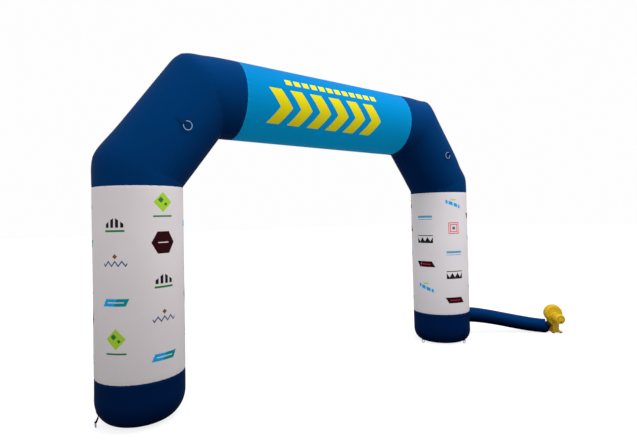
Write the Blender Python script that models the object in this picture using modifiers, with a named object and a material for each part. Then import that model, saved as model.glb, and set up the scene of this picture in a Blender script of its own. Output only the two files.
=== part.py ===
"""Inflatable arch with its air blower, in metres, +Z up.

A five-metre start arch is sewn from coated polyester as one tube of round section: two
upright legs, two slanting braces and a level beam.  Each sewn panel is a solid of its own,
filled as the air fills it.  A fabric sleeve runs from the foot of one leg to a moulded
plastic blower on the ground.  Webbing tabs with steel rings take the guy ropes and pegs.
The frame's origin lies on the ground under the middle of everything's bounding box.
"""
import math

import bmesh
import bpy
from mathutils import Matrix, Vector

# ------------------------------------------------------------------ driving dimensions
ARCH_X, ARCH_Y = -0.6253, 0.3379     # where the arch's own middle stands in the frame
GAP = 0.0003                     # free space between two pieces that touch

TUBE_R = 0.400                   # radius of the inflated tube
FOOT_R = 0.396                   # the tube is a little slimmer at the feet
BRACE_R = 0.400                  # radius of the slanting braces
BEAM_R = {"left": 0.413, "right": 0.404}    # the beam is a little fuller at its left end
HALF_SPAN = 2.125                # arch's middle to a leg's axis
HALF_BEAM = 1.533                # arch's middle to the crossing of brace and beam axes
ELBOW_Z = 2.270                  # height where the leg's and the brace's axes cross
BEAM_Z = {"left": 3.083, "right": 3.049}    # height of the beam's axis at its two ends
FOOT_TOP = 0.420                 # seam between the blue foot and the white leg panel
BEAM_PANEL_HALF = 1.170          # half the length of the printed beam panel
ELBOW_LEAST = 0.008              # what is left of the elbow gore at its inner crease

FOOT_FLAT_R = {"left": 0.228, "right": 0.265}    # flat round base on the ground
FOOT_EDGE_H = {"left": 0.230, "right": 0.175}    # height of the rounded lower edge
SEAM_PINCH = 0.010               # how far a seam draws the tube's radius in
PINCH_REACH = 0.060              # how far from the seam the tube is drawn in
CORNER_REACH = 0.130             # how far from a mitre seam the outer side is rounded
CORNER_EASE = 0.85               # share of a full rounding that the cloth takes there
ELBOW_FULL = 0.003               # the lower elbow's outer side swells by this at its seam
FULL_REACH = 0.350               # and the swelling ends this far from it
RING_POINTS = 32                 # corners of a tube's cross-section

FOOT_RING_R = 0.0215             # steel ring of a foot's tab, to the middle of its wire
BRACE_RING_R = 0.0410            # and the larger one of a brace's
RING_WIRE_R = 0.0045
FOOT_STRAP_WIDTH = 0.030         # webbing of the tabs
BRACE_STRAP_WIDTH = 0.040
STRAP_T = 0.003
EYE_R = 0.0095                   # the loop's middle line around the ring's wire
FOOT_RING_AT = (0.400, 0.0270)   # ring centre: from the leg's axis, above the ground
FOOT_STRAP_Z = (0.138, 0.094)    # the stretch of strap sewn to the foot's wall
TAB_AZIMUTH = {                  # round each foot, in degrees from +X
    "left": {"outer": 180, "back": 90},
    "right": {"outer": 0, "inner": 180, "front": -90, "back": 90}}
BRACE_RING_OFF = 0.0150          # ring's middle plane, out from the tube
BRACE_STRAP = (0.115, 0.062)     # the stretch of strap sewn to the brace, above the ring
BRACE_RING_ALONG = {"left": 0.531, "right": 0.461}   # share of the brace's axis
BRACE_TAB_DROP = {"left": 3.5, "right": 0.0}         # and how far below it, in degrees round

SLEEVE_D = (0.222, 0.202)        # inflation sleeve, at the foot and at the blower
SLEEVE_ROUTE = (                 # its middle line, from the arch's own middle
    (2.400, -0.026, 0.293), (2.795, -0.100, 0.328), (3.300, -0.450, 0.106), (3.506, -0.789, 0.102))
SLEEVE_STATIONS = 13
SLEEVE_NECK = (0.034, 0.056)     # length and radius of its neck, tied to the spigot
SLEEVE_MOUTH_R = 0.050

BLOWER_AT = (3.647, -0.860)      # blower's middle, from the arch's own middle
BLOWER_TURN = math.radians(142.3)    # its outlet faces the foot
SCROLL_Z = 0.283                 # height of the scroll's middle
SCROLL_R = (0.116, 0.134)        # scroll's radius where it starts and where it ends
SCROLL_START = math.radians(-58) # tongue of the scroll
SCROLL_END = math.radians(232)   # where the duct's lower wall leaves it
SCROLL_HALF_W = 0.060            # half the scroll's width along the axis
SCROLL_EDGE = 0.020
DUCT_LENGTH = 0.132
FLANGE_OUT, FLANGE_HALF_T = 0.008, 0.005
SPIGOT_R, SPIGOT_LENGTH = 0.048, 0.034
MOTOR_R, MOTOR_END = 0.060, 0.268    # motor drum: radius, and how far its cap reaches
MOTOR_FLARE = 0.014              # its round flange on the scroll
MOTOR_CAP_R, MOTOR_CAP_LENGTH = 0.070, 0.062
AXIS_DROP = 0.040                # the motor's axis lies below the scroll's middle
INLET_R, INLET_DEPTH = 0.084, 0.024
STAND_X = (-0.105, 0.050)        # base plate, along the outlet's direction
STAND_Y = (-0.095, 0.095)        # and along the impeller's axis
STAND_T = 0.012
STAND_LEG_X = (-0.062, 0.030)
STAND_LEG_T = 0.010
STAND_LEG_CLEAR = 0.012          # from a bracket's top to the round piece above it
PAD_SIZE = (0.034, 0.034, 0.012)
TIE_WIDTH, TIE_T = 0.016, 0.003  # webbing that ties the sleeve's neck to the spigot
GLAND_R, GLAND_LENGTH, GLAND_DROP = 0.009, 0.022, 0.032

NAVY, WHITE, CYAN = (0.010, 0.050, 0.130), (0.78, 0.76, 0.77), (0.010, 0.310, 0.620)
YELLOW, BLACK, STEEL = (0.760, 0.560, 0.030), (0.020, 0.020, 0.022), (0.55, 0.56, 0.58)

# ------------------------------------------------------------------ scene and materials
for old in list(bpy.data.objects):
    bpy.data.objects.remove(old, do_unlink=True)
arch = bpy.data.collections.new("inflatable_arch")
cutters = bpy.data.collections.new("cutters")
for collection in (arch, cutters):
    bpy.context.scene.collection.children.link(collection)


def material(name, colour, roughness, metallic=0.0):
    """A plain Principled finish."""
    made = bpy.data.materials.new(name)
    made.use_nodes = True
    shader = made.node_tree.nodes["Principled BSDF"]
    shader.inputs["Base Color"].default_value = (*colour, 1.0)
    shader.inputs["Roughness"].default_value = roughness
    shader.inputs["Metallic"].default_value = metallic
    return made


FINISH = {
    "navy_cloth": material("navy_cloth", NAVY, 0.45),
    "white_cloth": material("white_cloth", WHITE, 0.50),
    "cyan_cloth": material("cyan_cloth", CYAN, 0.40),
    "webbing": material("webbing", BLACK, 0.80),
    "steel": material("steel", STEEL, 0.25, 1.0),
    "yellow_plastic": material("yellow_plastic", YELLOW, 0.45),
    "black_rubber": material("black_rubber", BLACK, 0.70),
}


def datum(name, location, turn=0.0, parent=None):
    """An empty that carries a group of pieces."""
    empty = bpy.data.objects.new(name, None)
    arch.objects.link(empty)
    empty.location = location
    empty.rotation_euler = (0.0, 0.0, turn)
    empty.parent = parent
    return empty


ARCH = datum("arch_datum", (ARCH_X, ARCH_Y, 0.0))
BLOWER = datum("blower_datum", (*BLOWER_AT, 0.0), BLOWER_TURN, ARCH)


def piece(name, mesh, finish, parent=None, smooth=math.radians(40)):
    """Link a mesh as one named sub-part."""
    obj = bpy.data.objects.new(name, mesh)
    arch.objects.link(obj)
    obj.parent = parent or ARCH
    if not mesh.materials:
        mesh.materials.append(FINISH[finish])
    mesh.shade_smooth()
    mesh.set_sharp_from_angle(angle=smooth)
    return obj


def hide_as_cutter(obj):
    """Keep a guide body out of the build."""
    for owner in list(obj.users_collection):
        owner.objects.unlink(obj)
    cutters.objects.link(obj)
    obj.hide_render = True
    obj.display_type = "WIRE"


def mesh_from(name, bm):
    """Close a bmesh into a mesh with its faces pointing out."""
    bmesh.ops.recalc_face_normals(bm, faces=bm.faces)
    mesh = bpy.data.meshes.new(name)
    bm.to_mesh(mesh)
    bm.free()
    return mesh


def turned_mesh(name, profile):
    """Edges of (radius, height) points at +X, from the top of the axis to its foot."""
    mesh = bpy.data.meshes.new(name)
    edges = [(i, i + 1) for i in range(len(profile) - 1)]
    mesh.from_pydata([(radius, 0.0, height) for radius, height in profile], edges, [])
    return mesh


def spin(obj, steps):
    """Turn the profile round the object's own Z."""
    screw = obj.modifiers.new("turn", "SCREW")
    screw.axis = "Z"
    screw.angle = 2.0 * math.pi
    screw.steps = screw.render_steps = steps
    screw.use_merge_vertices = True
    screw.merge_threshold = 0.00001
    screw.use_smooth_shade = True


def turned(name, profile, finish, parent=None, steps=RING_POINTS):
    """A turned solid."""
    obj = piece(name, turned_mesh(name, profile), finish, parent)
    spin(obj, steps)
    return obj


def lofted(name, rings, finish, parent=None):
    """A closed body through cross-sections with the same number of points."""
    bm = bmesh.new()
    rows = [[bm.verts.new(point) for point in ring] for ring in rings]
    count = len(rows[0])
    for row, following in zip(rows, rows[1:]):
        for i in range(count):
            j = (i + 1) % count
            bm.faces.new((row[i], row[j], following[j], following[i]))
    bm.faces.new(rows[0])
    bm.faces.new(rows[-1])
    return piece(name, mesh_from(name, bm), finish, parent)


# ------------------------------------------------------------------ tube panels
SIDES = {"left": -1.0, "right": 1.0}


def bends(name):
    """Half the turn of the tube at a side's lower and upper elbow."""
    lean = math.atan2(BEAM_Z[name] - ELBOW_Z, HALF_SPAN - HALF_BEAM)
    return (math.pi / 2 - lean) / 2, lean / 2


def pinch(distance):
    """How far the tube's radius is drawn in, this far from a seam."""
    return SEAM_PINCH * max(0.0, 1.0 - distance / PINCH_REACH) ** 2


def panel_heights(low, high):
    """Stations of a turned panel, close together at its two seams."""
    near = [0.0, PINCH_REACH * 0.35, PINCH_REACH]
    middle = (low + high) / 2
    return [high - d for d in near] + [middle] + [low + d for d in reversed(near)]


def leg_profile(low, high):
    """A barrel between two flat seams, a little wider at its top."""
    rows = []
    for z in panel_heights(low, high):
        radius = FOOT_R + (TUBE_R - FOOT_R) * (z - low) / (high - low)
        rows.append((radius - pinch(min(z - low, high - z)), z))
    return [(0.0, high)] + rows + [(0.0, low)]


def foot_wall(name, height):
    """Radius of the foot's wall at a height: a quarter ellipse up to its straight part."""
    flat, edge = FOOT_FLAT_R[name], FOOT_EDGE_H[name]
    if height >= edge:
        return FOOT_R
    return flat + (FOOT_R - flat) * math.sqrt(1.0 - ((edge - height) / edge) ** 2)


def foot_profile(name, extra=0.0):
    """From the seam with the leg panel down the wall and round to the flat base."""
    flat, edge = FOOT_FLAT_R[name], FOOT_EDGE_H[name]
    high = FOOT_TOP - GAP / 2
    rows = [(FOOT_R + extra - pinch(d), high - d) for d in (0.0, PINCH_REACH * 0.35, PINCH_REACH)]
    for step in range(9):
        turn = step / 8 * math.pi / 2
        rows.append((flat + (FOOT_R - flat) * math.cos(turn) + extra, edge * (1.0 - math.sin(turn))))
    return [(0.0, high)] + rows + [(0.0, 0.0)]


def wall_crossing(corner, first, second, sign):
    """Where two walls meet: each runs beside its axis (direction, radius) through corner."""
    (ax, az), reach = first
    (bx, bz), other = second
    turn = ax * bz - az * bx
    share = sign * (other - reach * (az * bz + ax * bx)) / turn
    return Vector((corner[0] + sign * reach * az + share * ax, corner[1] - sign * reach * ax + share * az))


def seams(name, side):
    """The inner and outer ends of the seams from a leg's top to the beam's printed panel."""
    slope = (BEAM_Z["right"] - BEAM_Z["left"]) / (2 * HALF_BEAM)
    lower, upper = Vector((HALF_SPAN, ELBOW_Z)), Vector((HALF_BEAM, BEAM_Z[name]))
    leg = (Vector((0.0, 1.0)), TUBE_R)
    brace = ((upper - lower).normalized(), BRACE_R)
    beam = (Vector((-1.0, -side * slope)).normalized(), BEAM_R[name])
    low = [wall_crossing(lower, leg, brace, sign) for sign in (-1, 1)]
    high = [wall_crossing(upper, brace, beam, sign) for sign in (-1, 1)]
    leg_top = low[0].y - ELBOW_LEAST
    end_z = upper.y - side * slope * (HALF_BEAM - BEAM_PANEL_HALF)
    found = {
        "leg_top": [(HALF_SPAN - TUBE_R, leg_top), (HALF_SPAN + TUBE_R, leg_top)],
        "low_mitre": low,
        "high_mitre": high,
        "panel_end": [(BEAM_PANEL_HALF, end_z - BEAM_R[name]), (BEAM_PANEL_HALF, end_z + BEAM_R[name])],
    }
    return {name: [Vector((side * x, 0.0, z)) for x, z in ends] for name, ends in found.items()}


def step_off(ends, toward):
    """Move a seam's plane half a gap into the panel that lies toward a point."""
    along = (ends[1] - ends[0]).normalized()
    square = Vector((-along.z, 0.0, along.x))
    if square.dot(toward - (ends[0] + ends[1]) / 2) < 0.0:
        square = -square
    return [point + square * GAP / 2 for point in ends]


def oval(inner, outer, depth):
    """A cross-section: an ellipse from the inner to the outer point, depth to either side."""
    middle, reach = (inner + outer) / 2, (outer - inner) / 2
    turns = [2.0 * math.pi * i / RING_POINTS for i in range(RING_POINTS)]
    return [middle + reach * math.cos(t) + Vector((0.0, depth * math.sin(t), 0.0)) for t in turns]


def mitred(name, start, end, radii, turns, swell, stations, finish="navy_cloth"):
    """A panel between two seams; radii, turns and swell each give a value at both.

    A turn is half the tube's bend at that seam, whose outer corner is eased round, and
    a swell is how much fuller the outer side is there.
    """
    first = step_off(start, (end[0] + end[1]) / 2)
    last = step_off(end, (start[0] + start[1]) / 2)
    length = (last[1] - first[1]).length
    rings = []
    for share in stations:
        inner = first[0].lerp(last[0], share)
        outer = first[1].lerp(last[1], share)
        trim = 0.0
        for turn, full, away in zip(turns, swell, (share * length, (1.0 - share) * length)):
            most = CORNER_EASE * CORNER_REACH * math.tan(turn) / 2
            trim += most * max(0.0, 1.0 - away / CORNER_REACH) ** 2
            trim -= full * max(0.0, 1.0 - away / FULL_REACH) ** 2
        drawn = pinch(min(share, 1.0 - share) * length)
        across = (outer - inner).normalized()
        depth = radii[0] + (radii[1] - radii[0]) * share - drawn
        rings.append(oval(inner + across * drawn, outer - across * (trim + drawn), depth))
    return lofted(name, rings, finish)


LINES = {name: seams(name, side) for name, side in SIDES.items()}
for name, side in SIDES.items():
    lines = LINES[name]
    low_turn, high_turn = bends(name)
    foot = turned(f"foot_{name}", foot_profile(name), "navy_cloth")
    foot.location.x = side * HALF_SPAN
    leg_top = lines["leg_top"][0].z - GAP / 2
    leg = turned(f"leg_panel_{name}", leg_profile(FOOT_TOP + GAP / 2, leg_top), "white_cloth")
    leg.location.x = side * HALF_SPAN
    mitred(f"elbow_{name}", lines["leg_top"], lines["low_mitre"], (TUBE_R, BRACE_R),
           (0.0, low_turn), (0.0, ELBOW_FULL), (0.0, 0.1, 0.25, 0.5, 0.75, 0.9, 1.0))
    mitred(f"brace_{name}", lines["low_mitre"], lines["high_mitre"], (BRACE_R, BRACE_R),
           (low_turn, high_turn), (ELBOW_FULL, 0.0),
           (0.0, 0.03, 0.08, 0.15, 0.3, 0.6, 0.85, 0.92, 0.97, 1.0))
    mitred(f"crown_{name}", lines["high_mitre"], lines["panel_end"], (BRACE_R, BEAM_R[name]),
           (high_turn, 0.0), (0.0, 0.0), (0.0, 0.05, 0.12, 0.24, 0.6, 0.9, 0.96, 1.0))
mitred("beam_panel", LINES["left"]["panel_end"], LINES["right"]["panel_end"], tuple(BEAM_R.values()),
       (0.0, 0.0), (0.0, 0.0), (0.0, 0.009, 0.026, 0.5, 0.974, 0.991, 1.0), "cyan_cloth")


# ------------------------------------------------------------------ tabs and rings
def strap_mesh(name, width, sewn, ring_r, ring_x, ring_z):
    """Webbing down the wall, out to the ring and once round its wire.

    sewn is the line on the wall, in a plane with x out of the wall and z up.  Across its
    width the loop is bent with the ring, so that the wire stays in its middle.
    """
    loop = [math.radians(a) for a in range(120, -181, -25)]
    bm = bmesh.new()
    rows = []
    for x, z in sewn:
        rows.append([bm.verts.new((x, across, z)) for across in (-width / 2, 0.0, width / 2)])
    for angle in loop:
        reach = ring_r + EYE_R * math.sin(angle)
        x = ring_x + EYE_R * math.cos(angle)
        bent = [across / ring_r for across in (-width / 2, 0.0, width / 2)]
        rows.append([bm.verts.new((x, reach * math.sin(b), ring_z + reach * math.cos(b))) for b in bent])
    for row, following in zip(rows, rows[1:]):
        for i in (0, 1):
            bm.faces.new((row[i], following[i], following[i + 1], row[i + 1]))
    mesh = bpy.data.meshes.new(name)
    bm.to_mesh(mesh)
    bm.free()
    return mesh


def thicken(obj):
    """Give the webbing its thickness, half to each side."""
    solid = obj.modifiers.new("thickness", "SOLIDIFY")
    solid.thickness = STRAP_T
    solid.offset = 0.0


def ring_mesh(name, radius):
    """A steel ring in the plane across the outward direction."""
    bpy.ops.mesh.primitive_torus_add(major_radius=radius, minor_radius=RING_WIRE_R,
                                     major_segments=20, minor_segments=6)
    made = bpy.context.object
    mesh = made.data
    mesh.transform(Matrix.Rotation(math.pi / 2, 4, "Y"))
    bpy.data.objects.remove(made)
    mesh.name = name
    return mesh


STAND_OFF = GAP + STRAP_T / 2 + 0.0004


def foot_line(name, high, low):
    """The strap's sewn stretch, down the foot's wall."""
    heights = [high + (low - high) * i / 3 for i in range(4)]
    return [(foot_wall(name, z) + STAND_OFF, z) for z in heights]


def brace_line(high, low):
    """The strap's sewn stretch, round the brace."""
    reach = BRACE_R + STAND_OFF
    angles = [(high + (low - high) * i / 2) / BRACE_R for i in range(3)]
    return [(reach * math.cos(a), reach * math.sin(a)) for a in angles]


FOOT_RING = ring_mesh("foot_ring", FOOT_RING_R)
BRACE_RING = ring_mesh("brace_ring", BRACE_RING_R)
BRACE_RING_AT = (BRACE_R + BRACE_RING_OFF, 0.0)
BRACE_LOOP = strap_mesh("brace_strap", BRACE_STRAP_WIDTH, brace_line(*BRACE_STRAP), BRACE_RING_R,
                        *BRACE_RING_AT)


def tab(place, strap, ring_body, frame, ring_at):
    """A webbing tab and its ring; frame has x out of the wall and z up the wall."""
    webbing = piece(f"tab_{place}", strap, "webbing")
    webbing.matrix_local = frame
    thicken(webbing)
    ring = piece(f"ring_{place}", ring_body, "steel")
    ring.matrix_local = frame @ Matrix.Translation((ring_at[0], 0.0, ring_at[1]))


for name, side in SIDES.items():
    strap = strap_mesh(f"foot_strap_{name}", FOOT_STRAP_WIDTH, foot_line(name, *FOOT_STRAP_Z), FOOT_RING_R,
                       *FOOT_RING_AT)
    for where, azimuth in TAB_AZIMUTH[name].items():
        frame = Matrix.Rotation(math.radians(azimuth), 4, "Z")
        frame.translation.x = side * HALF_SPAN
        tab(f"foot_{name}_{where}", strap, FOOT_RING, frame, FOOT_RING_AT)
    low, high = Vector((side * HALF_SPAN, 0.0, ELBOW_Z)), Vector((side * HALF_BEAM, 0.0, BEAM_Z[name]))
    along = (high - low).normalized()
    top = Vector((side * along.z, 0.0, abs(along.x)))
    drop = math.radians(BRACE_TAB_DROP[name])
    for where, level in {"front": Vector((0, -1, 0)), "back": Vector((0, 1, 0))}.items():
        outward = level * math.cos(drop) - top * math.sin(drop)
        up_wall = top * math.cos(drop) + level * math.sin(drop)
        frame = Matrix((outward, up_wall.cross(outward), up_wall)).transposed().to_4x4()
        frame.translation = low.lerp(high, BRACE_RING_ALONG[name])
        tab(f"brace_{name}_{where}", BRACE_LOOP, BRACE_RING, frame, BRACE_RING_AT)


# ------------------------------------------------------------------ inflation sleeve
def bezier(points, share):
    """A point of the cubic curve that four points guide."""
    a, b, c, d = (Vector(p) for p in points)
    rest = 1.0 - share
    return a * rest ** 3 + b * 3 * rest ** 2 * share + c * 3 * rest * share ** 2 + d * share ** 3


def cross_ring(centre, along, radius, count=24):
    """A circle across a direction, with its first point to the side."""
    side = along.cross(Vector((0, 0, 1))).normalized()
    up = side.cross(along).normalized()
    turns = [2.0 * math.pi * i / count for i in range(count)]
    return [centre + side * radius * math.cos(t) + up * radius * math.sin(t) for t in turns]


def duct_frame():
    """Middle and direction of the outlet duct's mouth, in the blower's own plane."""
    angle = SCROLL_END + math.pi / 2
    along = Vector((math.cos(angle), math.sin(angle)))
    low = Vector((math.cos(SCROLL_END), math.sin(SCROLL_END))) * SCROLL_R[1] + Vector((0, SCROLL_Z))
    tongue = Vector((math.cos(SCROLL_START), math.sin(SCROLL_START))) * SCROLL_R[0] + Vector((0, SCROLL_Z))
    square = Vector((-along.y, along.x))
    height = (tongue - low).dot(square)
    return low, tongue, along, square, height


def blower_to_arch(x, y, z):
    """A point of the blower's own frame, seen from the arch's."""
    turned_point = Matrix.Rotation(BLOWER_TURN, 4, "Z") @ Vector((x, y, z))
    return turned_point + Vector((*BLOWER_AT, 0.0))


low_wall, tongue, duct_along, duct_up, duct_height = duct_frame()
mouth = low_wall + duct_along * DUCT_LENGTH + duct_up * duct_height / 2
spigot_end = mouth + duct_along * (SPIGOT_LENGTH + 2 * GAP)
sleeve_mouth = blower_to_arch(spigot_end.x, 0.0, spigot_end.y)
mouth_along = (blower_to_arch(spigot_end.x, 0.0, spigot_end.y)
               - blower_to_arch(mouth.x, 0.0, mouth.y)).normalized()

rings = []
for i in range(SLEEVE_STATIONS):
    share = i / (SLEEVE_STATIONS - 1)
    here, ahead = bezier(SLEEVE_ROUTE, share - 0.01), bezier(SLEEVE_ROUTE, share + 0.01)
    radius = (SLEEVE_D[0] + (SLEEVE_D[1] - SLEEVE_D[0]) * share) / 2
    rings.append(cross_ring(bezier(SLEEVE_ROUTE, share), (ahead - here).normalized(), radius))
neck_length, neck_radius = SLEEVE_NECK
rings.append(cross_ring(sleeve_mouth + mouth_along * neck_length, -mouth_along, neck_radius))
rings.append(cross_ring(sleeve_mouth, -mouth_along, SLEEVE_MOUTH_R))
sleeve = lofted("inflation_sleeve", rings, "navy_cloth")
foot_cutter = turned("foot_cutter", foot_profile("right", GAP), "navy_cloth")
foot_cutter.location.x = HALF_SPAN
hide_as_cutter(foot_cutter)
cut = sleeve.modifiers.new("foot_wall", "BOOLEAN")
cut.operation = "DIFFERENCE"
cut.object = foot_cutter


# ------------------------------------------------------------------ blower
def outline_mesh(name, points, half_width):
    """An outline of the XZ plane, extruded to both sides along Y."""
    bm = bmesh.new()
    rows = [[bm.verts.new((x, y, z)) for x, z in points] for y in (-half_width, half_width)]
    bm.faces.new(rows[0])
    bm.faces.new(rows[1])
    for i in range(len(points)):
        j = (i + 1) % len(points)
        bm.faces.new((rows[0][i], rows[0][j], rows[1][j], rows[1][i]))
    return mesh_from(name, bm)


def rounded(obj, width, segments=2):
    """Rounded edges."""
    bevel = obj.modifiers.new("edge", "BEVEL")
    bevel.width = width
    bevel.segments = segments
    bevel.limit_method = "ANGLE"
    bevel.angle_limit = math.radians(45)


def scroll_outline(out):
    """A growing spiral round the impeller, then the straight duct to the outlet."""
    points = []
    steps = 26
    for i in range(steps + 1):
        share = i / steps
        angle = SCROLL_START + (SCROLL_END - SCROLL_START) * share
        radius = SCROLL_R[0] + (SCROLL_R[1] - SCROLL_R[0]) * share + out
        points.append((radius * math.cos(angle), SCROLL_Z + radius * math.sin(angle)))
    low_end = low_wall + duct_along * DUCT_LENGTH - duct_up * out
    high_end = low_wall + duct_along * DUCT_LENGTH + duct_up * (duct_height + out)
    return points + [tuple(low_end), tuple(high_end)]


scroll_body = outline_mesh("scroll", scroll_outline(0.0), SCROLL_HALF_W)
scroll = piece("blower_scroll", scroll_body, "yellow_plastic", BLOWER)
rounded(scroll, SCROLL_EDGE)
flange_body = outline_mesh("flange", scroll_outline(FLANGE_OUT), FLANGE_HALF_T)
flange = piece("flange_guide", flange_body, "yellow_plastic", BLOWER)
hide_as_cutter(flange)
join = scroll.modifiers.new("flange", "BOOLEAN")
join.operation = "UNION"
join.object = flange

AXIS_TURN = (-math.pi / 2, 0.0, 0.0)     # a turned piece's Z laid along the blower's Y


def on_axis(name, profile, finish, steps=24):
    """A turned piece round the impeller's axis; heights run along the blower's +Y."""
    obj = turned(name, profile, finish, BLOWER, steps)
    obj.location = (0.0, 0.0, SCROLL_Z - AXIS_DROP)
    obj.rotation_euler = AXIS_TURN
    return obj


motor_start = SCROLL_HALF_W + GAP
cap_start = MOTOR_END - MOTOR_CAP_LENGTH
on_axis("blower_motor", [
    (0.0, cap_start - GAP), (MOTOR_R, cap_start - GAP), (MOTOR_R, motor_start + 0.020),
    (MOTOR_R + MOTOR_FLARE, motor_start + 0.008), (MOTOR_R + MOTOR_FLARE, motor_start), (0.0, motor_start)],
    "yellow_plastic")
on_axis("blower_motor_cap", [
    (0.0, MOTOR_END), (MOTOR_CAP_R * 0.62, MOTOR_END), (MOTOR_CAP_R * 0.88, MOTOR_END - 0.008),
    (MOTOR_CAP_R, MOTOR_END - 0.022), (MOTOR_CAP_R, cap_start), (0.0, cap_start)],
    "yellow_plastic")
back = -SCROLL_HALF_W - GAP
on_axis("blower_inlet", [
    (0.0, back), (INLET_R, back), (INLET_R, back - INLET_DEPTH * 0.6),
    (INLET_R - 0.010, back - INLET_DEPTH), (0.0, back - INLET_DEPTH)],
    "black_rubber")

gland = on_axis("blower_gland", [
    (0.0, GLAND_LENGTH), (GLAND_R * 0.6, GLAND_LENGTH), (GLAND_R, GLAND_LENGTH * 0.4),
    (GLAND_R, 0.0), (0.0, 0.0)],
    "black_rubber", 12)
gland.location = (0.0, MOTOR_END + GAP, SCROLL_Z - AXIS_DROP - GLAND_DROP)

spigot = turned("blower_spigot", [
    (0.0, SPIGOT_LENGTH), (SPIGOT_R, SPIGOT_LENGTH), (SPIGOT_R, 0.0), (0.0, 0.0)],
    "black_rubber", BLOWER, 24)
spigot.location = (mouth.x + duct_along.x * GAP, 0.0, mouth.y + duct_along.y * GAP)
spigot.rotation_euler = (0.0, math.pi / 2 - math.atan2(duct_along.y, duct_along.x), 0.0)

tie_start = neck_length * 0.15
tie_slope = (neck_radius - SLEEVE_MOUTH_R) / neck_length
tie_in = [(SLEEVE_MOUTH_R + tie_slope * d) / math.cos(math.pi / 24) + GAP
          for d in (tie_start, tie_start + TIE_WIDTH)]
tie = turned("sleeve_tie", [
    (tie_in[1], tie_start + TIE_WIDTH), (tie_in[1] + TIE_T, tie_start + TIE_WIDTH),
    (tie_in[0] + TIE_T, tie_start), (tie_in[0], tie_start), (tie_in[1], tie_start + TIE_WIDTH)],
    "webbing", BLOWER, 24)
tie.location = (spigot_end.x, 0.0, spigot_end.y)
tie.rotation_euler = spigot.rotation_euler


def box(name, low, high, finish, parent, edge):
    """A block between two corners, with rounded edges."""
    bm = bmesh.new()
    bmesh.ops.create_cube(bm, size=1.0)
    size = [b - a for a, b in zip(low, high)]
    middle = [(a + b) / 2 for a, b in zip(low, high)]
    bmesh.ops.transform(bm, matrix=Matrix.Diagonal((*size, 1.0)), verts=bm.verts)
    bmesh.ops.transform(bm, matrix=Matrix.Translation(middle), verts=bm.verts)
    obj = piece(name, mesh_from(name, bm), finish, parent)
    if edge:
        rounded(obj, edge)
    return obj


pad_height = PAD_SIZE[2]
plate_low = pad_height + GAP
box("blower_base", (STAND_X[0], STAND_Y[0], plate_low),
    (STAND_X[1], STAND_Y[1], plate_low + STAND_T), "yellow_plastic", BLOWER, 0.004)
for name, sign, clear_r in (("front", 1.0, MOTOR_R + MOTOR_FLARE), ("back", -1.0, INLET_R)):
    near = sign * (SCROLL_HALF_W + GAP)
    far = near + sign * STAND_LEG_T
    box(f"blower_bracket_{name}", (STAND_LEG_X[0], min(near, far), plate_low + STAND_T + GAP),
        (STAND_LEG_X[1], max(near, far), SCROLL_Z - AXIS_DROP - clear_r - STAND_LEG_CLEAR),
        "yellow_plastic", BLOWER, 0.002)
for i, x in enumerate((STAND_X[0] + 0.024, STAND_X[1] - 0.024)):
    for j, y in enumerate((STAND_Y[0] + 0.024, STAND_Y[1] - 0.024)):
        half = PAD_SIZE[0] / 2
        box(f"blower_pad_{2 * i + j + 1}", (x - half, y - half, 0.0), (x + half, y + half, pad_height),
            "black_rubber", BLOWER, 0.003)
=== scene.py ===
"""Looks of the inflatable arch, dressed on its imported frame, in metres, +Z up.

The arch is sewn from coated polyester and stands full of air; a yellow blower on the ground
keeps it full through a cloth sleeve at the right foot. Sections follow the making: the view,
the feet, the printed leg panels, the navy bends, the printed beam, tabs and rings, the sleeve,
the blower, and last the floor and the lights.
"""

import math

import bpy
import numpy as np
from mathutils import Matrix, Vector


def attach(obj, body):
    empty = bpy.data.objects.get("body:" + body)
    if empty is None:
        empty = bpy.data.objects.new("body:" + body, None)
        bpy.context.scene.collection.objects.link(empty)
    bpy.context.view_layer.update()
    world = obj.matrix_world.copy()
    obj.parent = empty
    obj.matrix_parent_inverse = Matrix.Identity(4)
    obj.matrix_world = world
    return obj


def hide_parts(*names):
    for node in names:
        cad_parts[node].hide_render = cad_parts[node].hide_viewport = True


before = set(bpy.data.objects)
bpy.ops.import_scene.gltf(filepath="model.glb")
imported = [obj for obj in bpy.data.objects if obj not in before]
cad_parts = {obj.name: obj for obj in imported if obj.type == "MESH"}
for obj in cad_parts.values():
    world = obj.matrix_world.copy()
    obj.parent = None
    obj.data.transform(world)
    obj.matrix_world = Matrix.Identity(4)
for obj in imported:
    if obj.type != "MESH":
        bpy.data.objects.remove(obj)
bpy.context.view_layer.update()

# -------------------------- the view
# A standing person's eye, well to the left of the arch and turned toward its beam, with
# the level of the ground almost in the middle of the frame.
ARCH = np.array([-0.6253, 0.3379, 0.0])  # the arch's own middle, on the ground
EYE = ARCH + np.array([-3.290, -4.569, 1.824])
YAW, PITCH, ROLL = 0.6292, 0.0139, -0.0224
FOCAL_PX, MIDDLE_PX = 464.90, (324.43, 210.23)
FRAME_PX = (637, 442)
SENSOR_MM = 36.0


def show(name, data):
    """A new object in the scene, which holds the data."""
    made = bpy.data.objects.new(name, data)
    bpy.context.scene.collection.objects.link(made)
    return made


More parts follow.
